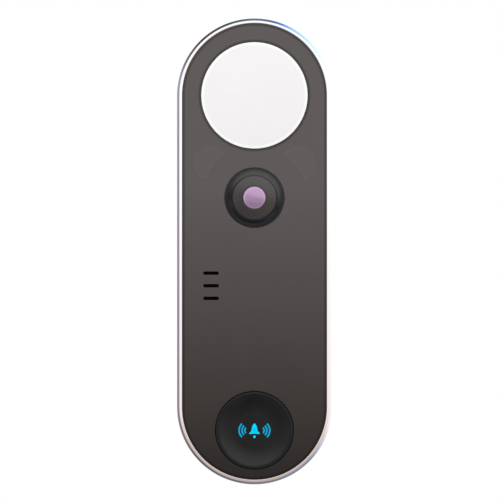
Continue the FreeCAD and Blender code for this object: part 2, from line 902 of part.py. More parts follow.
def motion_sensor():
    """Pyroelectric sensor in a round can with a square window."""
    top = board_front + sensor_can_height
    can = joined(
        rod(0, motion_z, sensor_brim_r, board_front, board_front + sensor_brim_t),
        rod(0, motion_z, sensor_can_r, board_front, top),
    )
    return can.cut(slab(0, motion_z, sensor_window, sensor_window, top - sensor_window_sink, top))


def camera_ring():
    """Glossy ring round the lens, with a rounded crest and a flange behind the panel."""
    back = plate_front - ring_flange_t
    crest = body_depth + ring_crest
    middle_r = (ring_r + ring_bore_r) / 2
    return turned(
        0, camera_z,
        (ring_r + ring_flange, back),
        (ring_r + ring_flange, plate_front),
        (ring_r, plate_front),
        (ring_r, body_depth),
        ((middle_r, crest), (ring_bore_r, body_depth)),
        (ring_bore_r, back),
    )


def camera_seal():
    back = plate_front - ring_flange_t - ring_seal_t
    return tube(0, camera_z, ring_r + ring_flange, ring_bore_r + ring_flange + part_gap, back, back + ring_seal_t)


def lens_barrel():
    """Threaded lens tube with a domed nose round the front lens."""
    shoulder = body_depth - barrel_edge
    nose = shoulder + nose_height
    seat = body_depth - front_lens_seat
    ledge = seat - lens_ledge_t
    return turned(
        0, camera_z,
        (barrel_thread_r, barrel_back),
        (barrel_thread_r, barrel_shoulder),
        (barrel_head_r, barrel_shoulder),
        (barrel_head_r, shoulder),
        (arc_middle((barrel_head_r, shoulder), (nose_r, nose), -nose_bulge), (nose_r, nose)),
        (front_lens_r, nose),
        (front_lens_r, seat),
        (lens_ledge_r, seat),
        (lens_ledge_r, ledge),
        (lens_bore_r, ledge),
        (lens_bore_r, barrel_back),
    )


def front_lens():
    """Coated front glass, domed towards the visitor and hollow behind."""
    seat = body_depth - front_lens_seat
    edge = body_depth - barrel_edge + nose_height - part_gap
    crown = edge + front_lens_dome
    hollow = (0, seat + front_lens_dome / 2)
    return turned(
        0, camera_z,
        (front_lens_r, seat),
        (front_lens_r, edge),
        (cap_middle((front_lens_r, edge), (0, crown)), (0, crown)),
        hollow,
        (cap_middle((lens_ledge_r, seat), hollow), (lens_ledge_r, seat)),
    )


def lens_stack():
    """Depths of the middle lens, the spacer and the rear lens inside the barrel, from front to back."""
    ledge = body_depth - front_lens_seat - lens_ledge_t
    middle = (ledge - inner_lens_t, ledge)
    rear_back = barrel_back + sheet_t / 2
    rear = (rear_back, rear_back + inner_lens_t)
    return middle, (rear[1], middle[0]), rear


def inner_lens(depths, bulge):
    """A glass that bulges on its front face and is flat at its edge."""
    back, front = depths
    edge = lens_ledge_r
    return turned(
        0, camera_z,
        (0, back),
        (lens_bore_r, back),
        (lens_bore_r, front),
        (edge, front),
        (cap_middle((edge, front), (0, front + bulge)), (0, front + bulge)),
    )


def middle_lens():
    return inner_lens(lens_stack()[0], middle_lens_bulge)


def rear_lens():
    return inner_lens(lens_stack()[2], rear_lens_bulge)


def lens_spacer():
    back, front = lens_stack()[1]
    return tube(0, camera_z, lens_bore_r, lens_bore_r - spacer_wall, back, front)


def lens_mount():
    """Plate and threaded boss that hold the barrel over the sensor."""
    plate = slab(0, camera_z, mount_width, mount_height, mount_back, mount_back + mount_plate_t, mount_corner)
    boss = rod(0, camera_z, mount_boss_r, mount_back, mount_top)
    body = joined(plate, boss)
    cuts = [
        rod(0, camera_z, barrel_thread_r, barrel_back, mount_top),
        rod(0, camera_z, optic_bore_r, mount_back, barrel_back),
    ]
    cuts += [rod(x, z, small_shank_r, mount_back, mount_back + mount_plate_t) for x, z in mount_screw_points]
    return body.cut(cuts)


def filter_housing():
    """Frame under the lens mount, with the slot in which the filter slider moves."""
    body = slab(0, camera_z, mount_width, mount_height, board_front, mount_back, mount_corner)
    slot_half = filter_frame_half() + filter_pitch / 2 + part_gap * 2
    cuts = [
        block(-slot_half, slot_half, camera_z - filter_slot_height / 2, camera_z + filter_slot_height / 2,
              mount_back - filter_slot_t, mount_back),
        slab(0, camera_z, image_sensor_size[0] + 2 * slide_gap, image_sensor_size[1] + 2 * slide_gap, board_front,
             mount_back - filter_slot_t),
    ]
    cuts += [rod(x, z, small_shank_r + part_gap, board_front, mount_back) for x, z in mount_screw_points]
    return body.cut(cuts)


def filter_frame_half():
    return filter_pitch / 2 + filter_glass_r + filter_rim


def filter_glass_xs():
    """Where the two glasses stand at rest: the infrared-cut glass is on the axis, the clear one beside it."""
    return 0.0, filter_pitch


def filter_slider():
    """Frame with two round openings that a coil moves sideways between day and night."""
    back = mount_back - filter_slot_t + (filter_slot_t - filter_frame_t) / 2
    middle = filter_pitch / 2
    frame = slab(middle, camera_z, 2 * filter_frame_half(), filter_frame_height, back, back + filter_frame_t,
                 filter_rim)
    return frame.cut([rod(x, camera_z, filter_glass_r, back, back + filter_frame_t) for x in filter_glass_xs()])


def filter_glasses():
    back = mount_back - filter_slot_t + (filter_slot_t - filter_frame_t) / 2
    inset = filter_frame_t / 4
    return group([
        rod(x, camera_z, filter_glass_r, back + inset, back + filter_frame_t - inset) for x in filter_glass_xs()
    ])


def filter_coil():
    """Actuator coil beside the filter housing."""
    width, height, thickness = coil_size
    z = camera_z - mount_height / 2 - height / 2
    top = board_front + thickness
    return slab(0, z, width, height, board_front, top).cut(slab(0, z, coil_waist, height, top - coil_sink, top))


def image_sensor():
    width, height, thickness = image_sensor_size
    top = board_front + thickness
    rims = 2 * image_sensor_rim
    package = slab(0, camera_z, width, height, board_front, top)
    return package.cut(slab(0, camera_z, width - rims, height - rims, top - image_sensor_sink, top))


def mount_screws():
    return small_screws(mount_screw_points, board_depth, board_t + filter_housing_t + mount_plate_t * 0.8)


def ir_board():
    """Lamp board: a strip bridging over the camera with a lobe behind each window."""
    back, front = ir_board_depth, ir_board_depth + ir_board_t
    width = body_width - 2 * ir_board_side_gap
    middle = camera_z + ir_board_above_camera + ir_board_height / 2
    board = slab(0, middle, width, ir_board_height, back, front, mount_corner)
    cuts = [rod(0, camera_z, ir_board_notch_r, back, front)]
    cuts += [rod(x, z, small_shank_r + part_gap, back, front) for x, z in ir_screw_points]
    return board.cut(cuts)


def ir_leds():
    """Two lamps behind each window, each a square base with a round dome."""
    front = ir_board_depth + ir_board_t
    lamps = []
    for side in (-1, 1):
        for shift in (-1, 1):
            x = side * (ir_x + shift * ir_led_offset_x)
            z = ir_z - shift * ir_led_offset_z
            base = slab(x, z, ir_led_size, ir_led_size, front, front + ir_led_t)
            dome = bevelled_rod(x, z, ir_led_dome_r, front + ir_led_t, front + ir_led_t + ir_led_dome_t,
                                ir_led_dome_t / 2)
            lamps.append(joined(base, dome))
    return group(lamps)


def ir_board_screws():
    return small_screws(ir_screw_points, ir_board_depth, ir_board_t + ir_screw_bite)


def ir_board_pins():
    """Pin header that joins the lamp board to the main board."""
    width = pin_pitch * pin_count
    z = camera_z + pin_above_camera
    base = slab(0, z, width, pin_pitch, board_front, board_front + pin_base_t)
    pins = [
        slab((i - (pin_count - 1) / 2) * pin_pitch, z, pin_size, pin_size, board_front + pin_base_t, ir_board_depth)
        for i in range(pin_count)
    ]
    return joined(base, *pins)


def sound_mesh():
    """Water-shedding mesh behind the slots."""
    return slab(slot_x, slot_z, slot_length + 2 * mesh_margin, slot_field_height + 2 * mesh_margin,
                plate_front - mesh_t, plate_front, mesh_margin)


def speaker_depths():
    front = plate_back - speaker_gasket_t
    return front - speaker_height, front


def speaker_gasket():
    back = plate_back - speaker_gasket_t
    return tube(speaker_x, slot_z, speaker_r, speaker_r - basket_rim, back, plate_back)


def speaker_frame():
    """Loudspeaker basket, with a ledge for the cone's edge and a hole for the magnet."""
    back, front = speaker_depths()
    ledge = front - basket_rim_height
    waist_r = speaker_r - basket_waist
    seat_r = speaker_r - basket_rim
    inner_r = seat_r - cone_roll
    shoulder = back + basket_shoulder
    return turned(
        speaker_x, slot_z,
        (magnet_r, back),
        (waist_r, back),
        (waist_r, shoulder),
        (speaker_r, shoulder + basket_flare),
        (speaker_r, front),
        (seat_r, front),
        (seat_r, ledge),
        (inner_r, ledge),
        (inner_r, shoulder + basket_t),
        (waist_r - basket_t, back + basket_t),
        (magnet_r, back + basket_t),
    )


def speaker_magnet():
    front = speaker_depths()[0] + basket_t
    return rod(speaker_x, slot_z, magnet_r, front - magnet_height, front)


def speaker_cone():
    """Diaphragm with a rolled edge and a dust cap."""
    front = speaker_depths()[1] - basket_rim_height
    edge = speaker_r - basket_rim
    roll = edge - cone_roll
    low = front - cone_depth
    cap_front = (0, low + cone_t + dust_cap_height)
    cap_edge = (dust_cap_r, low + cone_t)
    return turned(
        speaker_x, slot_z,
        (edge, front),
        (edge, front + cone_t),
        (roll, front + cone_t),
        cap_edge,
        (cap_middle(cap_edge, cap_front), cap_front),
        (0, low),
        (dust_cap_r, low),
        (roll, front),
    )


def speaker_contacts():
    """Two leaf springs between the main board and the back of the loudspeaker."""
    back = speaker_depths()[0]
    t = contact_t
    top = slot_z - magnet_r - contact_t
    bottom = top - contact_foot
    springs = []
    for side in (-1, 1):
        left = speaker_x + side * contact_spread - contact_width / 2
        outline = [
            (bottom, board_front),
            (top, board_front),
            (top, board_front + t),
            (bottom + 2 * t, board_front + t),
            (top - 2 * t, back - t),
            (top, back - t),
            (top, back),
            (top - 3 * t, back),
            (bottom, board_front + 2 * t),
            (bottom, board_front),
        ]
        wire = Part.makePolygon([Vector(left, -depth, z) for z, depth in outline])
        springs.append(Part.Face(wire).extrude(Vector(contact_width, 0, 0)))
    return group(springs)


def bell_button():
    """Round push with a raised rim and a shallow dish, a flange behind the panel and a key in the flange."""
    crest = body_depth + button_crest
    bottom = body_depth - button_dish
    flange_r = button_r + button_flange
    flange_rear = panel_back - button_flange_t
    rim_in = button_r - button_rim
    dish_edge = rim_in - button_rim_slope
    round_in, round_down = button_inner_round
    dish_edge_depth = bottom + button_dish * 0.42
    cap = turned(
        0, button_z,
        (0, guide_front),
        (guide_r + press_gap, guide_front),
        (guide_r + press_gap, flange_rear),
        (flange_r, flange_rear),
        (flange_r, panel_back),
        (button_r, panel_back),
        (button_r, crest - button_rim * 0.55),
        ((button_r - button_rim * 0.16, crest - button_rim * 0.16), (button_r - button_rim * 0.5, crest)),
        ((rim_in - round_in, crest - round_down), (dish_edge, dish_edge_depth)),
        (cap_middle((dish_edge, dish_edge_depth), (0, bottom)), (0, bottom)),
    )
    half = button_key_width / 2
    key = block(-half, half, button_z + button_r, button_z + flange_r + button_key_height, flange_rear, panel_back)
    return joined(cap, key)


def button_light_guide():
    """Clear disc behind the push that spreads the lamps' light, with the post that works the switch."""
    disc = rod(0, button_z, guide_r, guide_front - guide_t, guide_front)
    post = rod(0, button_z, guide_post_r, guide_post_end, guide_front - guide_t)
    return joined(disc, post)


def button_membrane():
    """Silicone diaphragm that seals the well: a thick rim, a thin raised web and a hub under the post."""
    rim_r = well_low_r - part_gap
    rim_in = rim_r - membrane_rim_width
    rim_top = well_floor_front + membrane_rim_t
    web_low = guide_post_end - membrane_web_t
    web_root = well_floor_front + membrane_rise
    start = (membrane_hub_r, guide_post_end)
    end = (rim_in, web_root + membrane_web_t)
    low_start = (rim_in, web_root)
    low_end = (membrane_hub_r, web_low)
    return turned(
        0, button_z,
        (0, hub_back),
        (membrane_hub_r, hub_back),
        low_end,
        low_start,
        (rim_in, well_floor_front),
        (rim_r, well_floor_front),
        (rim_r, rim_top),
        (rim_in, rim_top),
        end,
        start,
        (0, guide_post_end),
    )


def button_board():
    back, front = button_board_back, button_board_front
    board = rod(0, button_z, button_board_r, back, front)
    return board.cut([rod(x, z, small_shank_r + part_gap, back, front) for x, z in button_screw_points])


def bell_switch():
    """Push switch under the bell push, with a hole for its plunger."""
    front = button_board_front + switch_body_t
    body = slab(0, button_z, switch_size, switch_size, button_board_front, front)
    return body.cut(rod(0, button_z, switch_plunger_r + press_gap, front - switch_travel - slide_gap, front))


def switch_plunger():
    front = button_board_front + switch_body_t
    return bevelled_rod(0, button_z, switch_plunger_r, front - slide_gap / 2, plunger_front, switch_plunger_bevel)


def bell_leds():
    """Blue lamps round the switch."""
    width, height, thickness = bell_led_size
    lamps = []
    for i in range(bell_led_count):
        angle = math.radians(45 + i * 360 / bell_led_count)
        lamps.append(slab(bell_led_ring_r * math.cos(angle), button_z + bell_led_ring_r * math.sin(angle),
                          width, height, button_board_front, button_board_front + thickness))
    return group(lamps)


def button_board_screws():
    return small_screws(button_screw_points, button_board_back, button_board_t + button_screw_bite)


def board_link():
    """Low connector between the button board and the main board."""
    return slab(0, button_z - link_below_push, link_size[0], link_size[1], board_front, button_board_back)


def main_board():
    """Printed circuit board over the whole length, notched round the housing's screw bosses."""
    board = pill(board_inset, board_depth, board_front)
    cuts = [rod(x, z, housing_boss_r + slide_gap, board_depth, board_front) for x, z in housing_screw_points]
    cuts += [rod(x, z, small_shank_r + part_gap, board_depth, board_front)
             for x, z in board_screw_points + mount_screw_points]
    return board.cut(cuts)


def main_board_screws():
    return small_screws(board_screw_points, board_depth, board_t + board_screw_bite)


def processor_shield():
    """Pressed metal can over the processor, with a row of vent holes."""
    width, height, thickness = processor_size
    x = body_side - processor_from_side
    z = slot_z - processor_below_slots
    top = board_front + thickness
    can = slab(x, z, width, height, board_front, top, mount_corner)
    holes = [rod(x + i * vent_pitch, z + vent_rise, vent_r, top - vent_sink, top) for i in (-1, 0, 1)]
    return can.cut(holes)


def radio_module():
    """Radio module: a thin board with its own shield, and bare board for the aerial at one end."""
    width, height, thickness = radio_size
    z = button_z + radio_above_push
    shield_width, shield_height = radio_shield_size
    shield_x = radio_x - (width - shield_width) / 2 + (height - shield_height) / 2
    board_top = board_front + radio_board_t
    carrier = slab(radio_x, z, width, height, board_front, board_top)
    return joined(carrier, slab(shield_x, z, shield_width, shield_height, board_top, board_front + thickness))


def power_coil():
    """Square choke with a round winding window."""
    width, height, thickness = choke_size
    z = camera_z + choke_above_camera
    top = board_front + thickness
    core = slab(choke_x, z, width, height, board_front, top, mount_corner)
    return core.cut(tube(choke_x, z, choke_ring[0], choke_ring[1], top - choke_sink, top))


def capacitors():
    z = button_z + capacitor_above_push
    top = board_front + capacitor_height
    return group([bevelled_rod(x, z, capacitor_r, board_front, top, capacitor_bevel) for x in capacitor_xs])


def housing_screws():
    return group([
        screw(x, z, housing_shank_r, housing_head_r, housing_head_height, pocket_depth,
              housing_boss_top - pocket_depth + housing_screw_bite)
        for x, z in housing_screw_points
    ])


def terminal_posts():
    """Brass posts that carry the supply from the terminal screws to the main board."""
    posts = []
    for side in (-1, 1):
        x = side * terminal_x
        post = rod(x, terminal_z, terminal_post_r, pocket_depth, board_depth)
        posts.append(post.cut(rod(x, terminal_z, terminal_shank_r, pocket_depth, board_depth - slide_gap)))
    return group(posts)


def terminal_plates():
    """Square clamp plates under the terminal screws."""
    plates = []
    for side in (-1, 1):
        x = side * terminal_x
        plate = slab(x, terminal_z, terminal_plate_size, terminal_plate_size, pocket_depth - terminal_plate_t,
                     pocket_depth)
        plates.append(plate.cut(rod(x, terminal_z, terminal_shank_r + part_gap, pocket_depth - terminal_plate_t,
                                    pocket_depth)))
    return group(plates)


def terminal_screws():
    seat = pocket_depth - terminal_plate_t
    return group([
        screw(side * terminal_x, terminal_z, terminal_shank_r, terminal_head_r, terminal_head_height, seat,
              board_depth - seat - 2 * slide_gap)
        for side in (-1, 1)
    ])


def microphone_z():
    return board_inset - body_top + microphone_size[1] / 2 + slide_gap


def microphone():
    width, height, thickness = microphone_size
    return slab(0, microphone_z(), width, height, board_depth - thickness, board_depth)


def microphone_boot():
    """Rubber boot that leads sound from the hole in the bottom wall to the microphone."""
    width, height, thickness = microphone_size
    bottom = cavity_inset - body_top
    top = bottom + boot_height
    z = microphone_z()
    boot = block(-boot_width / 2, boot_width / 2, bottom, top, floor_front + 2 * part_gap, board_depth)
    boot = boot.common(pill(cavity_inset, floor_front, board_depth))
    return boot.cut([
        slab(0, z, width, height, board_depth - thickness, board_depth),
        upright_rod(0, microphone_port_depth, microphone_port_r, bottom - overcut, z),
        rod(0, z, microphone_port_r, microphone_port_depth, board_depth - thickness),
    ])


def reset_button():
    """Small push in the floor, with a flange that keeps it in."""
    x, z = reset_at
    stem = rod(x, z, reset_r, pocket_depth, floor_front)
    flange = rod(x, z, reset_flange_r, floor_front, floor_front + reset_flange_t)
    nub = rod(x, z, reset_nub_r, floor_front + reset_flange_t, reset_nub_front())
    return joined(stem, flange, nub)


def reset_nub_front():
    return board_depth - reset_switch_t - reset_travel - press_gap


def reset_switch():
    x, z = reset_at
    back = board_depth - reset_switch_t
    face = back + reset_switch_nose
    body = slab(x, z, reset_switch_size, reset_switch_size, face, board_depth)
    return joined(body, rod(x, z, reset_nub_r, back, face))


SUB_PARTS = {
    "wall_bracket": wall_bracket,
    "security_screw": security_screw,
    "security_insert": security_insert,
    "rear_housing": rear_housing,
    "housing_seal": housing_seal,
    "housing_screws": housing_screws,
    "terminal_posts": terminal_posts,
    "terminal_plates": terminal_plates,
    "terminal_screws": terminal_screws,
    "front_frame": front_frame,
    "front_panel": front_panel,
    "panel_tape": panel_tape,
    "ir_window_left": lambda: ir_window(-1, 0, panel_back, body_depth),
    "ir_window_right": lambda: ir_window(1, 0, panel_back, body_depth),
    "chassis": chassis,
    "motion_lens": motion_lens,
    "motion_shroud": motion_shroud,
    "motion_sensor": motion_sensor,
    "camera_ring": camera_ring,
    "camera_seal": camera_seal,
    "lens_barrel": lens_barrel,
    "front_lens": front_lens,
    "middle_lens": middle_lens,
    "lens_spacer": lens_spacer,
    "rear_lens": rear_lens,
    "lens_mount": lens_mount,
    "filter_housing": filter_housing,
    "filter_slider": filter_slider,
    "filter_glasses": filter_glasses,
    "filter_coil": filter_coil,
    "image_sensor": image_sensor,
    "mount_screws": mount_screws,
    "ir_board": ir_board,
    "ir_leds": ir_leds,
    "ir_board_screws": ir_board_screws,
    "ir_board_pins": ir_board_pins,
    "sound_mesh": sound_mesh,
    "speaker_gasket": speaker_gasket,
    "speaker_frame": speaker_frame,
    "speaker_magnet": speaker_magnet,
    "speaker_cone": speaker_cone,
    "speaker_contacts": speaker_contacts,
    "bell_button": bell_button,
    "button_light_guide": button_light_guide,
    "button_membrane": button_membrane,
    "button_board": button_board,
    "bell_switch": bell_switch,
    "switch_plunger": switch_plunger,
    "bell_leds": bell_leds,
    "button_board_screws": button_board_screws,
    "board_link": board_link,
    "main_board": main_board,
    "main_board_screws": main_board_screws,
    "processor_shield": processor_shield,
    "radio_module": radio_module,
    "power_parts": lambda: group([power_coil(), capacitors()]),
    "microphone": microphone,
    "microphone_boot": microphone_boot,
    "reset_button": reset_button,
    "reset_switch": reset_switch,
}


def main():
    os.makedirs("parts", exist_ok=True)
    for name, build in SUB_PARTS.items():
        shape = build()
        solids = shape.Solids
        if not shape.isValid() or not solids:
            raise RuntimeError(name + " is not a valid solid")
        shape.exportStep("parts/" + name + ".step")
        print(name, len(solids), round(shape.Volume, 2))


main()
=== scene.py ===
"""Video door station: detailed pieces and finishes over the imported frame, in soft studio light.

The front faces -Y. A depth is the distance from the wall, so depth d lies at Y = -d.
All lengths are metres.
"""
import json
import math

import bpy
from mathutils import Matrix, Vector


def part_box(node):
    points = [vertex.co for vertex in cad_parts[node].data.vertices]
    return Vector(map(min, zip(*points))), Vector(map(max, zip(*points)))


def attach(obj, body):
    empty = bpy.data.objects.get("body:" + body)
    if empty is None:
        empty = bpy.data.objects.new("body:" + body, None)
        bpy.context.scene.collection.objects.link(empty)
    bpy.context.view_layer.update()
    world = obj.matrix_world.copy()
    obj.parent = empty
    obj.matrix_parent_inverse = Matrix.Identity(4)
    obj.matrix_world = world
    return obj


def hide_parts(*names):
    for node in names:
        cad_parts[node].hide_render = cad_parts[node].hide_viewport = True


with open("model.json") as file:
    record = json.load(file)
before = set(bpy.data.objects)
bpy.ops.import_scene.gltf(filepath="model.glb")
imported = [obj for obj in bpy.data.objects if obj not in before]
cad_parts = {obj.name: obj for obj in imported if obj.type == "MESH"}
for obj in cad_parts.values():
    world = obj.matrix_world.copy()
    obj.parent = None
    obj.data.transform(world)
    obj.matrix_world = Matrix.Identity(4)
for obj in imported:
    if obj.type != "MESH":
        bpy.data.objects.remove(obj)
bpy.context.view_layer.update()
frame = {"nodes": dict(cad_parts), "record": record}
mm = 0.001
tiny = 1e-6
white = (1, 1, 1, 1)
black = (0, 0, 0, 1)


def side_of(node):
    """Half the width of a node that stands on the middle line."""
    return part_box(node)[1][0]


def depths_of(node):
    """The depths of a node's back and front."""
    low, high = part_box(node)
    return -high[1], -low[1]


def middle_of(node):
    """The x and z of a node's middle."""
    low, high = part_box(node)
    return (low[0] + high[0]) / 2, (low[2] + high[2]) / 2


# The body's outline
body_side = side_of("front_frame")
body_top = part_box("front_frame")[1][2]
straight = body_top - body_side
frame_back, body_front = depths_of("front_frame")
panel_back, panel_front = depths_of("front_panel")
panel_side = side_of("front_panel")
plate_front = depths_of("chassis")[1]
round_steps = 128

# Frame and panel
panel_gap = 0.08 * mm
frame_round = (1.74 * mm, 3.44 * mm)    # half axes of the rounding, across and along the depth
frame_round_turn = math.radians(78)     # how far the rounding goes before the ridge
frame_round_steps = 12
frame_bevel_drop = 0.08 * mm            # from the ridge down to the inner edge
frame_lip = 1.1 * mm
frame_lip_t = 1.3 * mm
panel_edge = 0.2 * mm
seam_shade_width = 0.6 * mm                  # a darker line of painted shade along the frame's seam and round the motion lens
seam_shade_fade = 0.95 * mm                  # where the line has faded out
seam_shade_depth = 0.44                      # how much darker it is
opening_edge = 0.1 * mm
opening_edge_middle = 0.3               # share of the edge at its middle point, so that it is rounded

# Motion lens
opal_x, opal_z = middle_of("motion_lens")
opal_flange = 1.3 * mm
opal_r = side_of("motion_lens") - opal_flange
opal_back, opal_crown = depths_of("motion_lens")
opal_rim = panel_front + 0.45 * mm
opal_round = 0.25 * mm
opal_crown_r = opal_r - opal_round - 0.1 * mm
opal_wall = 1.0 * mm
opal_gap = 0.1 * mm
opal_painted_highlight = (0.95 * mm, 0.7 * mm)     # in from the rim, where the painted highlight starts and where it is full white
fresnel_rings = 8
fresnel_pitch = 1.6 * mm
fresnel_depth = 0.35 * mm

# Camera
camera_z = middle_of("camera_ring")[1]
ring_flange = 1.35 * mm
ring_r = side_of("camera_ring") - ring_flange
ring_back = depths_of("camera_ring")[0]
ring_bore_r = 6.65 * mm
ring_bore_drop = 0.4 * mm       # from the panel's front back to the bore
ring_lip_r = 6.56 * mm
ring_lip_drop = 0.2 * mm        # from the panel's front back to the end of the lip
ring_rise = 0.38 * mm
ring_gap = 0.1 * mm
ring_slopes = (                 # out to this radius in mm, at this many degrees down and outwards
    (6.75, 2), (6.95, 6), (7.15, 9), (7.6, 10), (7.7, 8), (7.9, 6), (8.25, 4.3), (8.5, 2.5), (8.9, 1),
)
barrel_back = depths_of("lens_barrel")[0]
barrel_head_r = side_of("lens_barrel")
barrel_thread_r = 6.0 * mm
barrel_shoulder = 21.9 * mm
barrel_drop = 0.05 * mm         # from the ring's lip back to the barrel's front edge
barrel_front = panel_front + ring_rise - barrel_drop
barrel_ledge_r = 2.6 * mm
barrel_ledge_t = 0.7 * mm
barrel_bore_r = 4.6 * mm
nose_front = panel_front + 0.78 * mm
nose_bulge = 0.02 * mm
nose_steps = 6
nose_r = 3.75 * mm
glass_r = side_of("front_lens")
glass_back, glass_crown = depths_of("front_lens")
glass_bevel = 0.35 * mm
glass_drop = 0.1 * mm           # from the nose back to the glass's edge
glass_round = 0.1 * mm
glass_hollow_r = barrel_ledge_r - 0.1 * mm
glass_hollow = 0.45 * mm
glass_steps = 96
lens_rim_glint = (2.6 * mm, 2.85 * mm)    # from the axis, where the painted rim highlight starts and where it is full
lens_shade_fall = (-2.0 * mm, 0.5 * mm)    # above the axis, where the painted shade is darkest and where it is gone

# Infrared windows
window_r = 5.55 * mm
window_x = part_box("ir_window_right")[1][0] - window_r
window_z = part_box("ir_window_right")[1][2] - window_r
window_inner_r = 15.3 * mm
window_corner = 0.6 * mm
window_opening = 0.05 * mm      # how far the panel's opening reaches beyond the node's outline
window_spread = 0.03 * mm       # how much of that the window fills

# Sound slots
slot_x, slot_z = middle_of("sound_mesh")
slot_margin = 1.0 * mm
slot_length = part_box("sound_mesh")[1][0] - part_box("sound_mesh")[0][0] - 2 * slot_margin
slot_height = 1.0 * mm
slot_pitch = 3.78 * mm
slot_count = 3

# Bell push
push_flange = 0.85 * mm
push_r = side_of("bell_button") - push_flange
push_x = 0.0
push_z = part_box("bell_button")[0][2] + side_of("bell_button")
push_back, push_crest = depths_of("bell_button")
push_gap = 0.35 * mm
push_rim = 0.75 * mm
push_rim_round = 0.14 * mm
push_dish = panel_front - 0.3 * mm
push_dish_steps = 12
push_flat_r = 5.2 * mm
push_floor = panel_front - 2.0 * mm
guide_r = side_of("button_light_guide") + 0.05 * mm
key_reach = 0.75 * mm
key_foot = push_z + push_r + 0.9 * push_flange      # the key grows from the faces above this height
key_facing = 0.99                                   # that look this squarely upwards

# Lit sign on the bell push
sign_t = 0.06 * mm
sign_foot = push_dish - 0.02 * mm
bell_outline = (                # x and z in mm, with the radius of a rounded corner
    (0.0, 2.05), (0.22, 1.97, 0.18), (0.7, 1.15, 0.9), (1.0, -0.32, 1.3), (1.62, -0.88, 0.13),
    (1.55, -1.08, 0.1), (0.0, -1.0),
)
bell_round_steps = 6
clapper_z = -1.9 * mm
clapper_r = 0.37 * mm
clapper_steps = 32
wave_x = 1.8 * mm
wave_radii = (1.1 * mm, 1.92 * mm, 2.8 * mm)
wave_stroke = 0.46 * mm
wave_half_angle = math.radians(46)
wave_steps = 12

# The photograph's view
photo_width = 0.14985
view_shift = (-1.335 * mm, 0.42 * mm)
view_distance = 1.2
sensor_width = 36.0
nearest_shown = 0.01
floor_z = -0.30
floor_reach = 20.0
floor_fade = (0.35, 0.9)        # from the origin, where the floor starts to turn white and where it is white


def free_selection():
    if bpy.context.object and bpy.context.object.mode != "OBJECT":
        bpy.ops.object.mode_set(mode="OBJECT")
    bpy.ops.object.select_all(action="DESELECT")


def activate(piece):
    free_selection()
    piece.select_set(True)
    bpy.context.view_layer.objects.active = piece


def edit(piece, keep=None):
    """Opens a piece with only those corners selected that keep accepts, or all of them."""
    activate(piece)
    mesh = piece.data
    chosen = [keep is None or bool(keep(v.co)) for v in mesh.vertices]
    mesh.vertices.foreach_set("select", chosen)
    mesh.edges.foreach_set("select", [all(chosen[i] for i in e.vertices) for e in mesh.edges])
    mesh.polygons.foreach_set("select", [all(chosen[i] for i in f.vertices) for f in mesh.polygons])
    bpy.ops.object.mode_set(mode="EDIT")
    bpy.ops.mesh.select_mode(type="VERT")


def edit_faces(piece, keep):
    """Opens a piece with only those faces selected that keep accepts, by their middle and normal."""
    activate(piece)
    mesh = piece.data
    mesh.vertices.foreach_set("select", [False] * len(mesh.vertices))
    mesh.edges.foreach_set("select", [False] * len(mesh.edges))
    mesh.polygons.foreach_set("select", [bool(keep(f.center, f.normal)) for f in mesh.polygons])
    bpy.ops.object.mode_set(mode="EDIT")
    bpy.ops.mesh.select_mode(type="FACE")


def extrude(step):
    """Pulls the selection of the open piece out by a step."""
    bpy.ops.mesh.extrude_region_move(TRANSFORM_OT_translate={"value": step})


def close_up(piece):
    """Merges doubles and turns all faces outwards."""
    edit(piece)
    bpy.ops.mesh.remove_doubles(threshold=tiny)
    bpy.ops.mesh.normals_make_consistent(inside=False)
    bpy.ops.object.mode_set(mode="OBJECT")


def rounded(points, steps=5):
    """A path whose points may carry a third number, the radius that rounds them."""
    path = []
    for i, point in enumerate(points):
        corner = Vector(point[:2])
        if len(point) < 3:
            path.append(tuple(corner))
            continue
        before = (Vector(points[i - 1][:2]) - corner).normalized()
        after = (Vector(points[(i + 1) % len(points)][:2]) - corner).normalized()
        half = before.angle(after) / 2
        centre = corner + (before + after).normalized() * point[2] / math.sin(half)
        reach = point[2] / math.tan(half)
        first = (corner + before * reach - centre).to_3d().normalized()
        last = (corner + after * reach - centre).to_3d().normalized()
        path += [tuple(centre + first.slerp(last, k / steps).xy * point[2]) for k in range(steps + 1)]
    return path


def ball_cap(edge_r, edge_depth, apex_depth):
    """The (radius, depth) points of a ball-shaped cap, from its edge to its apex."""
    steps = 10
    rise = apex_depth - edge_depth
    ball = (edge_r ** 2 + rise ** 2) / (2 * rise)
    full = math.asin(edge_r / ball)
    turns = [full * (1 - k / steps) for k in range(steps + 1)]
    return [(ball * math.sin(t), apex_depth - ball * (1 - math.cos(t))) for t in turns]


def line_through(name, points):
    """A new piece that is one line of edges through these points."""
    free_selection()
    bpy.ops.mesh.primitive_plane_add(size=mm, location=points[0])
    piece = bpy.context.object
    piece.name = name
    bpy.ops.object.transform_apply(location=True, rotation=False, scale=False)
    edit(piece)
    bpy.ops.mesh.merge(type="CENTER")
    for here, there in zip(points, points[1:]):
        extrude([b - a for a, b in zip(here, there)])
    bpy.ops.object.mode_set(mode="OBJECT")
    return piece


def turned(name, profile, x, z, steps=round_steps):
    """A closed piece turned about the depth axis through x and z, from (radius, depth) points."""
    path = rounded(profile)
    piece = line_through(name, [(x + r, -d, z) for r, d in path + path[:1]])
    edit(piece)
    bpy.ops.mesh.spin(
        steps=steps, angle=2 * math.pi, center=(x, 0, z), axis=(0, 1, 0), use_auto_merge=False
    )
    close_up(piece)
    return piece


def disc(name, x, z, radius, back, front, steps=round_steps):
    """A round plate whose two faces are single faces."""
    free_selection()
    bpy.ops.mesh.primitive_cylinder_add(
        vertices=steps, radius=radius, depth=front - back, location=(x, -(back + front) / 2, z),
        rotation=(math.pi / 2, 0, 0), end_fill_type="NGON",
    )
    piece = bpy.context.object
    piece.name = name
    bpy.ops.object.transform_apply(location=True, rotation=True, scale=False)
    return piece


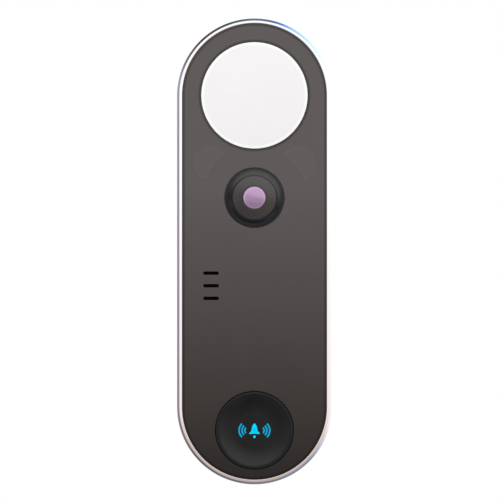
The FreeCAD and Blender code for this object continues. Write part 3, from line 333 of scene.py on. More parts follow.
def plate(name, outline, back, front):
    """A flat piece with this outline of (x, z) points."""
    piece = line_through(name, [(x, -back, z) for x, z in outline])
    edit(piece)
    bpy.ops.mesh.edge_face_add()
    edit(piece)
    extrude((0, back - front, 0))
    close_up(piece)
    return piece


def apply_modifier(piece, kind, **settings):
    activate(piece)
    modifier = piece.modifiers.new(kind.title(), kind)
    for name, value in settings.items():
        setattr(modifier, name, value)
    bpy.ops.object.modifier_apply(modifier=modifier.name)


def stretch(piece, middle, half, axis=2):
    """Pulls a round piece apart along an axis, with a straight stretch between its two halves."""
    along = [0.0, 0.0, 0.0]
    along[axis] = 1.0
    where = [0.0, 0.0, 0.0]
    where[axis] = middle
    edit(piece)
    bpy.ops.mesh.bisect(plane_co=where, plane_no=along, clear_inner=True, threshold=tiny / 10)
    bpy.ops.mesh.select_all(action="SELECT")
    bpy.ops.transform.translate(value=[half * a for a in along])
    edit(piece, lambda p: p[axis] < middle + half + tiny)
    extrude([-half * a for a in along])
    bpy.ops.object.mode_set(mode="OBJECT")
    free_selection()
    bpy.ops.object.empty_add(location=where)
    centre = bpy.context.object
    across = [a > 0 for a in along]
    apply_modifier(piece, "MIRROR", use_axis=across, mirror_object=centre, merge_threshold=tiny)
    bpy.data.objects.remove(centre)
    close_up(piece)


def cut_out(piece, cutters):
    """Cuts other pieces out of this one and removes them."""
    for cutter in cutters:
        apply_modifier(piece, "BOOLEAN", operation="DIFFERENCE", solver="EXACT", object=cutter)
        bpy.data.objects.remove(cutter)
    close_up(piece)


def finish_piece(piece, body, slot, *nodes, finish=None, sharp=40):
    """Shades a piece, gives it its finish and lets it ride in place of its nodes."""
    activate(piece)
    bpy.ops.object.shade_smooth_by_angle(angle=math.radians(sharp))
    apply_modifier(piece, "WEIGHTED_NORMAL", keep_sharp=True)
    piece.data.materials.clear()
    piece.data.materials.append(finishes[slot] if finish is None else finish)
    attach(piece, body)
    if nodes:
        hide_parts(*nodes)


def linear(level):
    """A 0 to 255 screen level as the amount of light it stands for, by the sRGB curve."""
    share = level / 255
    return share / 12.92 if share <= 0.04045 else ((share + 0.055) / 1.055) ** 2.4


def paint(red, green, blue):
    """A colour from its screen levels."""
    return linear(red), linear(green), linear(blue), 1.0


def shade(colour, factor):
    """A colour made darker or lighter."""
    return tuple(min(1.0, c * factor) for c in colour[:3]) + (1.0,)


class Varying:
    """A number, colour or vector that varies over a surface, with Python's own arithmetic for numbers."""

    def __init__(self, finish, socket):
        self.finish = finish
        self.socket = socket

    def maths(self, operation, *values):
        return self.finish.node("Math", {"operation": operation}, dict(enumerate(values)))

    def __add__(self, other):
        return self.maths("ADD", self, other)

    def __radd__(self, other):
        return self.maths("ADD", other, self)

    def __sub__(self, other):
        return self.maths("SUBTRACT", self, other)

    def __rsub__(self, other):
        return self.maths("SUBTRACT", other, self)

    def __mul__(self, other):
        return self.maths("MULTIPLY", self, other)

    def __rmul__(self, other):
        return self.maths("MULTIPLY", other, self)

    def __truediv__(self, other):
        return self.maths("DIVIDE", self, other)

    def __rtruediv__(self, other):
        return self.maths("DIVIDE", other, self)

    def __abs__(self):
        return self.maths("ABSOLUTE", self)

    def root(self):
        return self.maths("SQRT", self)

    def greatest(self, other):
        return self.maths("MAXIMUM", self, other)

    def wave(self, pitch):
        """A sine that repeats at this pitch."""
        return self.maths("SINE", self * (2 * math.pi / pitch))

    def turn_from(self, across):
        """The angle of the direction whose parts are across and this, as a share of a turn from the left."""
        return self.maths("ARCTAN2", self, across) / (2 * math.pi) + 0.5


class Finish:
    """A node tree under construction, for a material or the world."""

    def __init__(self, owner):
        owner.use_nodes = True
        self.owner = owner
        self.tree = owner.node_tree
        self.tree.nodes.clear()

    def node(self, kind, settings=None, values=None, out=0):
        made = self.tree.nodes.new("ShaderNode" + kind)
        for name, setting in (settings or {}).items():
            if name == "stops":
                ramp = made.color_ramp
                while len(ramp.elements) < len(setting):
                    ramp.elements.new(1.0)
                for element, (place, colour) in zip(ramp.elements, setting):
                    element.position = place
                    element.color = colour
            else:
                setattr(made, name, setting)
        for name, value in (values or {}).items():
            if isinstance(value, Varying):
                self.tree.links.new(value.socket, made.inputs[name])
            else:
                made.inputs[name].default_value = value
        return Varying(self, made.outputs[out]) if out is not None else None

    def place(self):
        return self.node("TexCoord", out="Object")

    def part_of(self, vector, name):
        return self.node("SeparateXYZ", values={0: vector}, out=name)

    def axis(self, name):
        return self.part_of(self.place(), name)

    def moved(self, offset=(0, 0, 0), scale=(1, 1, 1)):
        return self.node("Mapping", values={"Vector": self.place(), "Location": offset, "Scale": scale})

    def seen_flat(self, x=0.0, z=0.0):
        """The place as seen from the front, without its depth, measured from x and z."""
        spot = self.moved(offset=(-x, 0, -z))
        return self.node("VectorMath", {"operation": "MULTIPLY"}, {0: spot, 1: (1, 0, 1)})

    def distance_from_axis(self, x, z):
        """How far a place is from the depth axis through x and z."""
        return self.length_of(self.seen_flat(x, z))

    def length_of(self, vector):
        return self.node("VectorMath", {"operation": "LENGTH"}, {0: vector}, out="Value")

    def noise(self, size, detail=3.0, stretch=(1, 1, 1), rough=0.5):
        """Noise whose features are about this size, with the axes squeezed by stretch."""
        spot = self.moved(scale=stretch)
        values = {"Vector": spot, "Scale": 1 / size, "Detail": detail, "Roughness": rough}
        return self.node("TexNoise", values=values)

    def cells(self, size, distance, out):
        """Cells of about this size, seen from the front."""
        values = {"Vector": self.seen_flat(), "Scale": 1 / size}
        return self.node("TexVoronoi", {"distance": distance}, values, out=out)

    def ranged(self, value, low, high, to_low=0.0, to_high=1.0):
        return self.node("MapRange", values={0: value, 1: low, 2: high, 3: to_low, 4: to_high})

    def gloss(self, pattern, least, most):
        """A roughness that wanders between two values with a noise, which mostly lies within 0.3 to 0.7."""
        return self.ranged(pattern, 0.3, 0.7, least, most)

    def mixed(self, factor, first, second):
        """A colour between two colours."""
        return self.node("Mix", {"data_type": "RGBA"}, {0: factor, 6: first, 7: second}, out=2)

    def tinted(self, pattern, colour, darkest, lightest):
        """A colour that wanders between two shades of itself, given as factors, with a noise."""
        return self.mixed(pattern, shade(colour, darkest), shade(colour, lightest))

    def ramp(self, factor, stops):
        return self.node("ValToRGB", {"stops": stops}, {"Fac": factor})

    def bump(self, height, distance):
        return self.node("Bump", values={"Height": height, "Distance": distance})

    def surface(self, colour, roughness, normal=None, **constants):
        """The last nodes of a material. The constants' names have underscores for spaces."""
        values = {"Base Color": colour, "Roughness": roughness}
        if normal is not None:
            values["Normal"] = normal
        for name, value in constants.items():
            values[name.replace("_", " ")] = value
        shader = self.node("BsdfPrincipled", values=values)
        self.node("OutputMaterial", values={"Surface": shader}, out=None)
        return self.owner


def new_finish(name):
    return Finish(bpy.data.materials.new(name))


def moulded(name, colour, roughness, grain=0.25 * mm, depth=0.01 * mm, **constants):
    """Moulded plastic or coated sheet with a fine spark texture and slightly uneven gloss."""
    f = new_finish(name)
    broad = f.noise(9 * mm)
    gloss = f.gloss(broad, roughness - 0.05, roughness + 0.05)
    bump = f.bump(f.noise(grain, detail=2.0), depth)
    return f.surface(f.tinted(broad, colour, 0.88, 1.12), gloss, bump, **constants)


def plated(name, colour, roughness, stretch=(3, 3, 3)):
    """Plated or turned metal with fine marks, finer along an axis where stretch is larger."""
    f = new_finish(name)
    marks = f.noise(0.9 * mm, detail=4.0, stretch=stretch)
    tone = f.tinted(f.noise(6 * mm, detail=2.0), colour, 0.85, 1.1)
    gloss = f.gloss(marks, roughness - 0.08, roughness + 0.1)
    return f.surface(tone, gloss, f.bump(marks, 0.004 * mm), Metallic=1.0)


def soft_finish(name, colour, roughness=0.8, grain=0.4 * mm, depth=0.02 * mm):
    """Rubber, silicone, foam or paper: a dull skin with fine pores."""
    f = new_finish(name)
    pores = f.noise(grain, detail=4.0, rough=0.6)
    gloss = f.gloss(pores, roughness - 0.07, roughness + 0.07)
    return f.surface(f.tinted(pores, colour, 0.8, 1.2), gloss, f.bump(pores, depth))


def clear_finish(name, colour, roughness, **constants):
    """Glass or clear plastic with faint smears."""
    f = new_finish(name)
    smear = f.noise(3 * mm, detail=2.0)
    gloss = f.gloss(smear, roughness, roughness + 0.05)
    bump = f.bump(f.noise(1 * mm), 0.002 * mm)
    return f.surface(f.tinted(smear, colour, 0.95, 1.03), gloss, bump, **constants)


def polished_frame_finish():
    """Polished metal with a painted warm reflection that grows towards the bottom."""
    f = new_finish("polished frame")
    warm_reflection_full, warm_reflection_gone = -62 * mm, 20 * mm
    smear = f.noise(14 * mm)
    bright = f.mixed(smear, paint(244, 244, 246), paint(250, 250, 251))
    # painted warm reflection, full at the bottom and gone a little above the middle
    tone = f.mixed(f.ranged(f.axis("Z"), warm_reflection_full, warm_reflection_gone, 1.0, 0.0), bright, paint(232, 221, 216))
    return f.surface(tone, f.gloss(smear, 0.04, 0.07), f.bump(f.noise(2.5 * mm), 0.002 * mm), Metallic=1.0)


panel_tones_with_painted_shade = (                 # height, and the tint there in screen levels, darker downwards by painted shade
    (-66 * mm, (45, 40, 38)),
    (-45 * mm, (62, 56, 53)),
    (-30 * mm, (70, 65, 63)),
    (-12 * mm, (80, 75, 73)),
    (0 * mm, (85, 80, 78)),
    (20 * mm, (94, 89, 87)),
)


def panel_tone_with_painted_shade(f, lift):
    """The panel's tint, deepened towards the bottom by painted shade, lifted by some levels."""
    lowest, highest = panel_tones_with_painted_shade[0][0], panel_tones_with_painted_shade[-1][0]
    stops = []
    for z, levels in panel_tones_with_painted_shade:
        stops.append(((z - lowest) / (highest - lowest), paint(*[level + lift for level in levels])))
    return f.ramp(f.ranged(f.axis("Z"), lowest, highest), stops)


def distance_from_spine(f):
    """How far a place is from the straight line that runs down the middle of the body."""
    across = f.axis("X")
    beyond = (abs(f.axis("Z")) - straight).greatest(0.0)
    return (across * across + beyond * beyond).root()


def smoked_finish(name, lift, roughness):
    """Smoky tint, darker towards the bottom by painted shade, with a thin darker line of painted shade along
    the frame and round the motion lens.
    """
    f = new_finish(name)
    smear = f.noise(11 * mm)
    to_spine = distance_from_spine(f)
    to_lens = f.distance_from_axis(opal_x, opal_z)
    # painted shade along the seams to the frame and to the motion lens
    frame_seam_shade = f.ranged(to_spine, panel_side - seam_shade_fade, panel_side - seam_shade_width, 0.0, seam_shade_depth)
    lens_seam_shade = f.ranged(to_lens, opal_r + seam_shade_width, opal_r + seam_shade_fade, seam_shade_depth, 0.0)
    tone = f.mixed(frame_seam_shade.greatest(lens_seam_shade), panel_tone_with_painted_shade(f, lift), black)
    gloss = f.gloss(smear, roughness - 0.02, roughness + 0.03)
    return f.surface(tone, gloss, f.bump(f.noise(1.6 * mm), 0.002 * mm), Specular_IOR_Level=0.35)


def opal_finish():
    """Milky plastic with a painted highlight that whitens it along its edge."""
    f = new_finish("opal lens")
    cloud = f.noise(8 * mm, detail=2.0)
    milk = f.mixed(cloud, paint(244, 242, 241), paint(247, 245, 244))
    starts, full = opal_painted_highlight
    # painted highlight along the rounded rim
    edge = f.ranged(f.distance_from_axis(opal_x, opal_z), opal_r - starts, opal_r - full)
    tone = f.mixed(edge, milk, white)
    bump = f.bump(f.noise(0.5 * mm), 0.004 * mm)
    return f.surface(tone, f.gloss(cloud, 0.38, 0.44), bump, Specular_IOR_Level=0.4)


def ring_finish():
    """Glossy black plastic with faint smears."""
    f = new_finish("camera ring gloss")
    smear = f.noise(4 * mm)
    tone = f.mixed(smear, paint(17, 17, 18), paint(21, 20, 22))
    bump = f.bump(f.noise(0.9 * mm), 0.001 * mm)
    return f.surface(tone, f.gloss(smear, 0.12, 0.16), bump, Specular_IOR_Level=1.0)


def barrel_finish():
    """Dark satin coat on turned metal, with fine turning marks about the lens."""
    f = new_finish("coated barrel")
    turning_pitch = 0.12 * mm
    marks = f.distance_from_axis(0, camera_z).wave(turning_pitch)
    cloud = f.noise(3 * mm, detail=2.0)
    tone = f.mixed(cloud, paint(50, 46, 42), paint(54, 50, 46))
    return f.surface(tone, f.gloss(cloud, 0.24, 0.3), f.bump(marks, 0.0008 * mm), Specular_IOR_Level=1.0)


def lens_finish():
    """Coated front glass: a violet coating with a painted highlight round its polished edge and painted shade
    that darkens it downwards.
    """
    f = new_finish("coated lens")
    edge = f.ranged(f.distance_from_axis(0, camera_z), *lens_rim_glint)
    # painted shade on the lower half; painted highlight round the rim of the upper half
    low = f.ranged(f.axis("Z"), camera_z + lens_shade_fall[0], camera_z + lens_shade_fall[1], 1.0, 0.0)
    upper = f.mixed(edge, paint(186, 150, 187), paint(194, 154, 196))
    shaded_lower = f.mixed(edge, paint(163, 133, 163), paint(160, 129, 162))
    tone = f.mixed(low, upper, shaded_lower)
    gloss = f.gloss(f.noise(2 * mm), 0.1, 0.16)
    return f.surface(tone, gloss, Metallic=0.15, Coat_Weight=1.0, Coat_Roughness=0.03)


def push_finish():
    """Dark moulded plastic, smoother than the housing's."""
    f = new_finish("bell push")
    cloud = f.noise(7 * mm, detail=2.0)
    tone = f.mixed(cloud, paint(17, 16, 17), paint(20, 19, 20))
    bump = f.bump(f.noise(0.18 * mm, detail=2.0), 0.003 * mm)
    return f.surface(tone, f.gloss(cloud, 0.26, 0.32), bump, Specular_IOR_Level=0.5)


def sign_finish(name, middle, edge, reach):
    """Light through the push, which changes from the push's middle outwards."""
    f = new_finish(name)
    glow = f.mixed(f.ranged(f.distance_from_axis(push_x, push_z), 0, reach), middle, edge)
    unlit = paint(6, 20, 26)
    return f.surface(unlit, 0.45, Emission_Color=glow, Emission_Strength=1.0, Specular_IOR_Level=0.0)


def board_finish():
    """Green solder mask over copper tracks that run upright or across, patch by patch, with tinned dots."""
    f = new_finish("solder mask")
    patch, track_pitch, dot_pitch = 6 * mm, 1.1 * mm, 3.1 * mm
    across_share, tracked_share, sharpness = 0.4, 0.76, 0.01    # of all patches
    dot_core, dot_edge = 0.11, 0.14                             # shares of the dots' pitch
    covered_copper, solder = (0.024, 0.15, 0.075, 1), (0.5, 0.5, 0.48, 1)
    tracks_upright, tracks_across = (f.ranged(f.axis(a).wave(track_pitch), 0.4, 0.6) for a in ("X", "Z"))
    chance = f.node("SeparateColor", values={0: f.cells(patch, "CHEBYCHEV", "Color")}, out="Red")
    upright = f.ranged(chance, across_share - sharpness, across_share)
    bare = f.ranged(chance, tracked_share - sharpness, tracked_share)
    tracks = (tracks_upright * upright + tracks_across * (1 - upright)) * (1 - bare)
    dots = f.ranged(f.cells(dot_pitch, "EUCLIDEAN", "Distance"), dot_core, dot_edge, 1.0, 0.0)
    cloud = f.noise(5 * mm, detail=2.0)
    mask = f.mixed(cloud, (0.010, 0.075, 0.038, 1), (0.014, 0.095, 0.048, 1))
    tone = f.mixed(dots, f.mixed(tracks, mask, covered_copper), solder)
    return f.surface(tone, f.gloss(cloud, 0.28, 0.36), f.bump(tracks.greatest(dots), 0.02 * mm))


def woven_finish():
    """Fine cloth over the loudspeaker's openings."""
    f = new_finish("mesh cloth")
    thread = 0.35 * mm
    weave = f.axis("X").wave(thread).greatest(f.axis("Z").wave(thread))
    tone = f.mixed(f.ranged(weave, -0.5, 1.0), paint(16, 16, 16), paint(34, 33, 33))
    return f.surface(tone, 0.85, f.bump(weave, 0.03 * mm))


def filter_finish():
    """Two filter glasses side by side: the left one cuts infrared and has a blue-green tint."""
    f = new_finish("filter glasses")
    between = middle_of("filter_glasses")[0]
    is_right = f.ranged(f.axis("X"), between, between + 0.01 * mm)
    blue_green, colourless = (0.3, 0.62, 0.66, 1), (0.9, 0.93, 0.94, 1)
    tint = f.mixed(is_right, blue_green, colourless)
    gloss = f.gloss(f.noise(3 * mm, detail=2.0), 0.03, 0.08)
    return f.surface(tint, gloss, Transmission_Weight=0.8, IOR=1.5)


zinc = (0.5, 0.5, 0.505, 1)
screw_metal = (0.56, 0.56, 0.58, 1)
brass = (0.74, 0.52, 0.22, 1)
tin = (0.68, 0.68, 0.69, 1)
can_metal = (0.66, 0.63, 0.56, 1)
gold = (0.83, 0.6, 0.25, 1)
pale_glass = (0.85, 0.92, 0.95, 1)
pale_plastic = (0.82, 0.88, 0.92, 1)
pale_resin = (0.78, 0.8, 0.82, 1)
finishes = {
    "bracket_steel": moulded(
        "zinc coated sheet", zinc, roughness=0.42, grain=0.9 * mm, depth=0.004 * mm, Metallic=0.45
    ),
    "screw_steel": plated("plated screws", screw_metal, roughness=0.28),
    "brass": plated("turned brass", brass, roughness=0.25),
    "housing_plastic": moulded(
        "rear housing plastic", paint(58, 56, 56), roughness=0.55, grain=0.3 * mm, depth=0.02 * mm
    ),
    "chassis_plastic": moulded("chassis plastic", paint(40, 40, 42), roughness=0.5),
    "polished_metal": polished_frame_finish(),
    "panel_smoke": smoked_finish("smoked panel", lift=0, roughness=0.16),
    "window_smoke": smoked_finish("infrared window", lift=3, roughness=0.12),
    "opal": opal_finish(),
    "ring_gloss": ring_finish(),
    "barrel_metal": barrel_finish(),
    "lens_glass": lens_finish(),
    "clear_glass": clear_finish("inner glass", pale_glass, roughness=0.03, Transmission_Weight=0.9, IOR=1.5),
    "push_plastic": push_finish(),
    "clear_plastic": clear_finish(
        "light guide", pale_plastic, roughness=0.2, Transmission_Weight=0.7, IOR=1.49
    ),
    "black_rubber": soft_finish("black rubber", paint(34, 34, 34)),
    "seal_silicone": soft_finish(
        "grey silicone", paint(140, 141, 143), roughness=0.55, grain=0.8 * mm, depth=0.01 * mm
    ),
    "foam_tape": soft_finish("foam tape", paint(40, 40, 40), roughness=0.9, grain=0.25 * mm, depth=0.05 * mm),
    "board_green": board_finish(),
    "component_black": moulded(
        "component plastic", paint(42, 42, 44), roughness=0.45, grain=0.15 * mm, depth=0.006 * mm
    ),
    "shield_tin": plated("tinned sheet", tin, roughness=0.3, stretch=(1, 1, 4)),
    "sensor_can": plated("sensor can", can_metal, roughness=0.24),
    "gold_pin": plated("gold plate", gold, roughness=0.22),
    "speaker_black": moulded("loudspeaker frame", paint(38, 38, 40), roughness=0.5),
    "speaker_paper": soft_finish("treated paper", paint(78, 77, 78), roughness=0.75, grain=0.3 * mm),
    "mesh_cloth": woven_finish(),
    "lamp_clear": clear_finish("lamp resin", pale_resin, roughness=0.12, Specular_IOR_Level=0.7),
    "lamp_blue": sign_finish("lit lamps", paint(0, 190, 255), paint(0, 225, 255), reach=6 * mm),
}
filter_glass = filter_finish()
bell_glow = sign_finish("lit bell", paint(0, 190, 255), paint(0, 238, 255), reach=2.2 * mm)
wave_glow = sign_finish("lit waves", paint(20, 176, 214), paint(18, 168, 208), reach=4 * mm)


def make_frame():
    """Polished frame: rounded outside, with the hidden lip that clamps it."""
    inside = panel_side + panel_gap
    across, along = frame_round
    start = body_front - along * math.sin(frame_round_turn)
    turns = [frame_round_turn * k / frame_round_steps for k in range(frame_round_steps + 1)]
    piece = turned("frame_polished", [
        (body_side, frame_back),
        *[(body_side - across * (1 - math.cos(t)), start + along * math.sin(t)) for t in turns],
        (inside, body_front - frame_bevel_drop),
        (inside, plate_front),
        (inside - frame_lip, plate_front),
        (inside - frame_lip, plate_front - frame_lip_t),
        (inside, plate_front - frame_lip_t),
        (inside, frame_back),
    ], 0, 0)
    stretch(piece, 0, straight)
    finish_piece(piece, "station", "polished_metal", "front_frame", sharp=25)


def opening_cutter(x, z, radius, edge):
    """A round cutter that also takes the sharp edge off the opening's front."""
    middle = edge * opening_edge_middle
    return turned("cutter", [
        (0, panel_back - mm),
        (radius, panel_back - mm),
        (radius, panel_front - edge),
        (radius + middle, panel_front - middle),
        (radius + edge, panel_front),
        (radius + edge, panel_front + mm),
        (0, panel_front + mm),
    ], x, z)


def slot_cutter(z):
    """A round-ended cutter for one sound slot."""
    piece = opening_cutter(slot_x, z, slot_height / 2, opening_edge)
    stretch(piece, slot_x, (slot_length - slot_height) / 2, axis=0)
    return piece


def window_block(name, side, grow, back, front):
    """An infrared window: a round patch, hollow towards the camera, with two rounded tips."""
    patch, inner = window_r + grow, window_inner_r - grow
    apart = math.hypot(window_x, window_z - camera_z)
    turn = math.atan2(window_z - camera_z, window_x)
    near, far = inner + window_corner, patch - window_corner
    along = (near ** 2 - far ** 2 + apart ** 2) / (2 * apart)
    aside = math.sqrt(near ** 2 - along ** 2)
    from_camera, from_patch = math.atan2(aside, along), math.atan2(aside, along - apart)
    arcs = (        # middle along and across the line from the camera, radius, first and last angle, steps
        (apart, 0, patch, -from_patch, from_patch, 72),
        (along, aside, window_corner, from_patch, from_camera + math.pi, 6),
        (0, 0, inner, from_camera, -from_camera, 40),
        (along, -aside, window_corner, -from_camera - math.pi, -from_patch, 6),
    )
    outline = []
    for x, z, radius, first, last, steps in arcs:
        for k in range(steps):
            t = first + (last - first) * k / steps
            outline.append(Vector((x + radius * math.cos(t), z + radius * math.sin(t))))
    spots = [point @ Matrix.Rotation(-turn, 2) for point in outline]
    return plate(name, [(side * spot.x, camera_z + spot.y) for spot in spots], back, front)


def make_panel():
    """The panel with all its openings, and the two infrared windows in it."""
    piece = disc("panel_smoked", 0, 0, panel_side, panel_back, panel_front)
    edit(piece, lambda p: p.y < -panel_front + tiny)
    bpy.ops.mesh.bevel(offset=panel_edge, segments=3, affect="EDGES")
    bpy.ops.object.mode_set(mode="OBJECT")
    stretch(piece, 0, straight)
    slots = [slot_z + (i - (slot_count - 1) / 2) * slot_pitch for i in range(slot_count)]
    behind, before = panel_back - mm, panel_front + mm
    cut_out(piece, [
        opening_cutter(opal_x, opal_z, opal_r + opal_gap, opening_edge),
        opening_cutter(0, camera_z, ring_r + ring_gap, opening_edge / 2),
        opening_cutter(push_x, push_z, push_r + push_gap, opening_edge * 2),
        *[window_block("cutter", side, window_opening, behind, before) for side in (-1, 1)],
        *[slot_cutter(z) for z in slots],
    ])
    finish_piece(piece, "station", "panel_smoke", "front_panel")
    for side, node in ((-1, "ir_window_left"), (1, "ir_window_right")):
        window = window_block(node.replace("ir_", "flush_"), side, window_spread, panel_back, panel_front)
        finish_piece(window, "station", "window_smoke", node)


def make_opal_lens():
    """The motion lens: a crowned disc with stepped rings on its inner face."""
    inside = panel_front - opal_wall / 2
    rings = []
    for i in range(fresnel_rings, 0, -1):
        step = fresnel_depth * i / fresnel_rings
        rings += [(i * fresnel_pitch, inside), (i * fresnel_pitch, inside + step)]
    piece = turned("lens_opal", [
        (opal_r + opal_flange, opal_back),
        (opal_r + opal_flange, plate_front),
        (opal_r, plate_front),
        (opal_r, opal_rim, opal_round),
        *ball_cap(opal_crown_r, opal_rim, opal_crown),
        (0, inside),
        *reversed(rings),
        (opal_r - opal_wall, inside),
        (opal_r - opal_wall, opal_back),
    ], opal_x, opal_z)
    finish_piece(piece, "station", "opal", "motion_lens")


def make_ring():
    """The camera's glossy ring, highest at its inner lip."""
    out, depth = ring_lip_r, panel_front + ring_rise
    crown = [(out, depth)]
    for radius, degrees in ring_slopes:
        depth -= (radius * mm - out) * math.tan(math.radians(degrees))
        out = radius * mm
        crown.append((out, depth))
    piece = turned("ring_glossy", [
        (ring_r + ring_flange, ring_back),
        (ring_r + ring_flange, plate_front),
        (ring_r, plate_front),
        (ring_r, depth - (ring_r - out)),
        *reversed(crown),
        (ring_lip_r, panel_front - ring_lip_drop),
        (ring_bore_r, panel_front - ring_bore_drop),
        (ring_bore_r, ring_back),
    ], 0, camera_z)
    finish_piece(piece, "station", "ring_gloss", "camera_ring")


def make_barrel():
    """The lens barrel with its slightly bulging cone."""
    reach = Vector((nose_r - barrel_head_r, nose_front - barrel_front))
    across = Vector((reach.y, -reach.x)).normalized()
    cone = []
    for i in range(nose_steps + 1):
        share = i / nose_steps
        bulge = nose_bulge * 4 * share * (1 - share)
        cone.append(tuple(Vector((barrel_head_r, barrel_front)) + reach * share + across * bulge))
    piece = turned("barrel_nose", [
        (barrel_thread_r, barrel_back),
        (barrel_thread_r, barrel_shoulder),
        (barrel_head_r, barrel_shoulder),
        *cone,
        (glass_r, nose_front),
        (glass_r, glass_back),
        (barrel_ledge_r, glass_back),
        (barrel_ledge_r, glass_back - barrel_ledge_t),
        (barrel_bore_r, glass_back - barrel_ledge_t),
        (barrel_bore_r, barrel_back),
    ], 0, camera_z)
    finish_piece(piece, "station", "barrel_metal", "lens_barrel")


def make_front_lens():
    """The front lens, domed in front and hollow behind."""
    edge_depth = nose_front - glass_drop
    piece = turned("lens_front", [
        (barrel_ledge_r, glass_back),
        (glass_r, glass_back),
        (glass_r, edge_depth, glass_round),
        *ball_cap(glass_r - glass_bevel, edge_depth + glass_bevel / 2, glass_crown),
        *reversed(ball_cap(glass_hollow_r, glass_back, glass_back + glass_hollow)),
    ], 0, camera_z, glass_steps)
    finish_piece(piece, "station", "lens_glass", "front_lens")


def make_push():
    """The bell push: a raised rim round a dish, with a flange behind and a key on its top."""
    rim_in = push_r - push_rim
    rise = push_crest - push_dish
    shares = [1 - k / push_dish_steps for k in range(push_dish_steps + 1)]
    piece = turned("push_dished", [
        (0, push_floor),
        (guide_r, push_floor),
        (guide_r, push_back),
        (push_r + push_flange, push_back),
        (push_r + push_flange, panel_back),
        (push_r, panel_back),
        (push_r, push_crest, push_rim_round),
        *[(push_flat_r + (rim_in - push_flat_r) * share, push_dish + rise * share ** 2) for share in shares],
        (0, push_dish),
    ], push_x, push_z)
    edit_faces(piece, lambda c, n: n.z > key_facing and c.z > key_foot and c.y > -panel_back)
    extrude((0, 0, key_reach))
    bpy.ops.object.mode_set(mode="OBJECT")
    finish_piece(piece, "bell_push", "push_plastic", "bell_button")


def make_bell():
    """The lit bell and its clapper on the push's dish."""
    corners = [[number * mm for number in corner] for corner in bell_outline]
    half = rounded(corners, bell_round_steps)
    outline = half + [(-x, z) for x, z in reversed(half[1:-1])]
    front = sign_foot + sign_t
    bell = plate("sign_bell", [(push_x + x, push_z + z) for x, z in outline], sign_foot, front)
    finish_piece(bell, "bell_push", "lamp_blue", finish=bell_glow)
    clapper = disc("sign_clapper", push_x, push_z + clapper_z, clapper_r, sign_foot, front, clapper_steps)
    finish_piece(clapper, "bell_push", "lamp_blue", finish=bell_glow)


def make_wave(name, side, radius):
    """One lit wave beside the bell, an arc of even width."""
    starts = []
    for r in (radius - wave_stroke / 2, radius + wave_stroke / 2):
        out = wave_x + r * math.cos(wave_half_angle)
        starts.append((push_x + side * out, -sign_foot, push_z - r * math.sin(wave_half_angle)))
    middle = (push_x + side * wave_x, -sign_foot, push_z)
    wave = line_through(name, starts)
    edit(wave)
    bpy.ops.mesh.spin(steps=wave_steps, angle=side * 2 * wave_half_angle, center=middle, axis=(0, 1, 0))
    edit(wave)
    extrude((0, -sign_t, 0))
    close_up(wave)
    finish_piece(wave, "bell_push", "lamp_blue", finish=wave_glow)


def dress_nodes():
    """Gives every node that still shows the finish of its material slot."""
    slots = {part["node"]: part["material_slot"] for part in frame["record"]["subparts"]}
    for name, node in frame["nodes"].items():
        finish = filter_glass if name == "filter_glasses" else finishes[slots[name]]
        for place in node.material_slots:
            place.material = finish


# The studio as mirrors see it, by the direction in which they look
studio_strength = 1.12
plain_light = (0.66, 0.66, 0.67, 1)     # what dull surfaces get from all round
sky_stops = (                           # from straight down to straight up
    (0.0, (0.54, 0.49, 0.475, 1)), (0.25, (0.68, 0.62, 0.6, 1)), (0.45, (0.95, 0.93, 0.92, 1)),
    (0.55, white),
)
rear_fade = (0.22, 0.42)                # Y where the rear starts to show, and where only it shows
rear_stops = (                          # once round: left, below, right, above, left
    (0.0, paint(150, 140, 155)), (0.083, paint(120, 116, 130)), (0.125, paint(90, 98, 112)),
    (0.25, paint(118, 126, 142)), (0.375, paint(130, 148, 182)), (0.42, paint(216, 218, 232)),
    (0.455, white), (0.56, white), (0.625, paint(200, 248, 253)), (0.672, paint(146, 205, 255)),
    (0.694, paint(88, 130, 225)), (0.711, paint(80, 100, 145)), (0.75, paint(100, 110, 126)),
    (0.806, paint(64, 72, 78)), (0.861, paint(66, 54, 54)), (0.917, paint(120, 104, 118)),
    (0.958, paint(162, 152, 174)), (1.0, paint(150, 140, 155)),
)
front_fade = (-0.9, -0.76)              # Y where only the front shows, and where it has faded out
front_lean = 0.27                       # how much the front's heights also count to the right
front_reach = 0.35                      # the last height, up and down
front_levels = (                        # height, light level
    (-0.35, 0.03), (-0.25, 0.05), (-0.2, 0.14), (-0.15, 0.32), (-0.11, 0.18), (-0.06, 0.1), (-0.02, 0.12),
    (0.01, 0.24), (0.05, 0.27), (0.1, 0.42), (0.14, 0.66), (0.2, 0.76), (0.35, 0.88),
)


def make_world():
    """Even light all round. Mirrors see a pale studio that is dimmer towards the camera and below."""
    world = bpy.data.worlds.new("studio")
    bpy.context.scene.world = world
    f = Finish(world)
    ray = f.node("TexCoord", out="Generated")
    right, forward, up = (f.part_of(ray, name) for name in ("X", "Y", "Z"))
    rear = f.ramp(up.turn_from(right), rear_stops)
    sky = f.ramp(f.ranged(up, -1, 1), sky_stops)
    sky = f.mixed(f.ranged(forward, *rear_fade), sky, rear)
    stops = []
    for height, level in front_levels:
        stops.append(((height + front_reach) / (2 * front_reach), (level, level, level + 0.01, 1)))
    front = f.ramp(f.ranged(up + right * front_lean, -front_reach, front_reach), stops)
    sky = f.mixed(f.ranged(forward, *front_fade, 1.0, 0.0), sky, front)
    camera_ray, glossy_ray, clear_ray = (
        f.node("LightPath", out="Is %s Ray" % kind) for kind in ("Camera", "Glossy", "Transmission")
    )
    blank = (1 / studio_strength, 1 / studio_strength, 1 / studio_strength, 1)
    colour = f.mixed(camera_ray.greatest(clear_ray), f.mixed(glossy_ray, plain_light, sky), blank)
    background = f.node("Background", values={"Color": colour, "Strength": studio_strength})
    world.cycles.sampling_method = "NONE"     # so that light and mirror rays each see their own side of it
    f.node("OutputWorld", values={"Surface": background}, out=None)


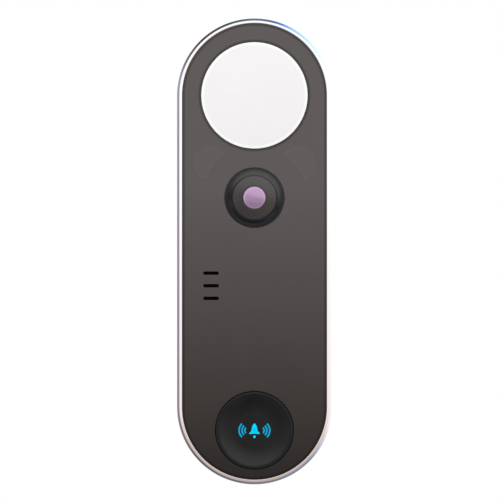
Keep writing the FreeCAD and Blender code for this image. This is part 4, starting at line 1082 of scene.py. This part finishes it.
def make_floor():
    """A pale floor that takes the object's shadow and turns white before its horizon."""
    free_selection()
    bpy.ops.mesh.primitive_plane_add(size=2 * floor_reach, location=(0, 0, floor_z))
    floor = bpy.context.object
    floor.name = "studio_floor"
    bpy.ops.object.transform_apply(location=True, rotation=False, scale=False)
    f = new_finish("pale floor")
    tone = f.mixed(f.noise(0.2), paint(240, 240, 240), paint(244, 244, 244))
    pale = f.node("BsdfPrincipled", values={"Base Color": tone, "Roughness": 0.7})
    fade = f.ranged(f.length_of(f.place()), *floor_fade) * f.node("LightPath", out="Is Camera Ray")
    blank = f.node("Emission", values={"Color": white, "Strength": 1.0})
    shader = f.node("MixShader", values={0: fade, 1: pale, 2: blank})
    f.node("OutputMaterial", values={"Surface": shader}, out=None)
    floor.data.materials.append(f.owner)
    floor.visible_glossy = False


def make_light(name, place, aim, size, power):
    """A round soft light that mirrors don't show."""
    free_selection()
    bpy.ops.object.light_add(type="AREA", location=place)
    lamp = bpy.context.object
    lamp.name = name
    lamp.data.shape = "DISK"
    lamp.data.size = size
    lamp.data.energy = power
    lamp.rotation_euler = (Vector(aim) - Vector(place)).to_track_quat("-Z", "Y").to_euler()
    lamp.visible_glossy = False


def make_view():
    """The photograph's view, straight on from a distance."""
    free_selection()
    place = (view_shift[0], -(panel_front + view_distance), view_shift[1])
    bpy.ops.object.camera_add(location=place, rotation=(math.pi / 2, 0, 0))
    camera = bpy.context.object
    camera.data.sensor_width = sensor_width
    camera.data.lens = sensor_width * view_distance / photo_width
    camera.data.clip_start = nearest_shown
    bpy.context.scene.camera = camera


dress_nodes()
make_frame()
make_panel()
make_opal_lens()
make_ring()
make_barrel()
make_front_lens()
make_push()
make_bell()
for number, radius in enumerate(wave_radii):
    make_wave("sign_wave_%d_left" % number, -1, radius)
    make_wave("sign_wave_%d_right" % number, 1, radius)
make_floor()
make_world()
make_light("key_light", place=(-0.15, -0.9, 1.0), aim=(0, 0, 0), size=0.7, power=6.0)
make_view()
bpy.context.scene.view_settings.view_transform = "Standard"
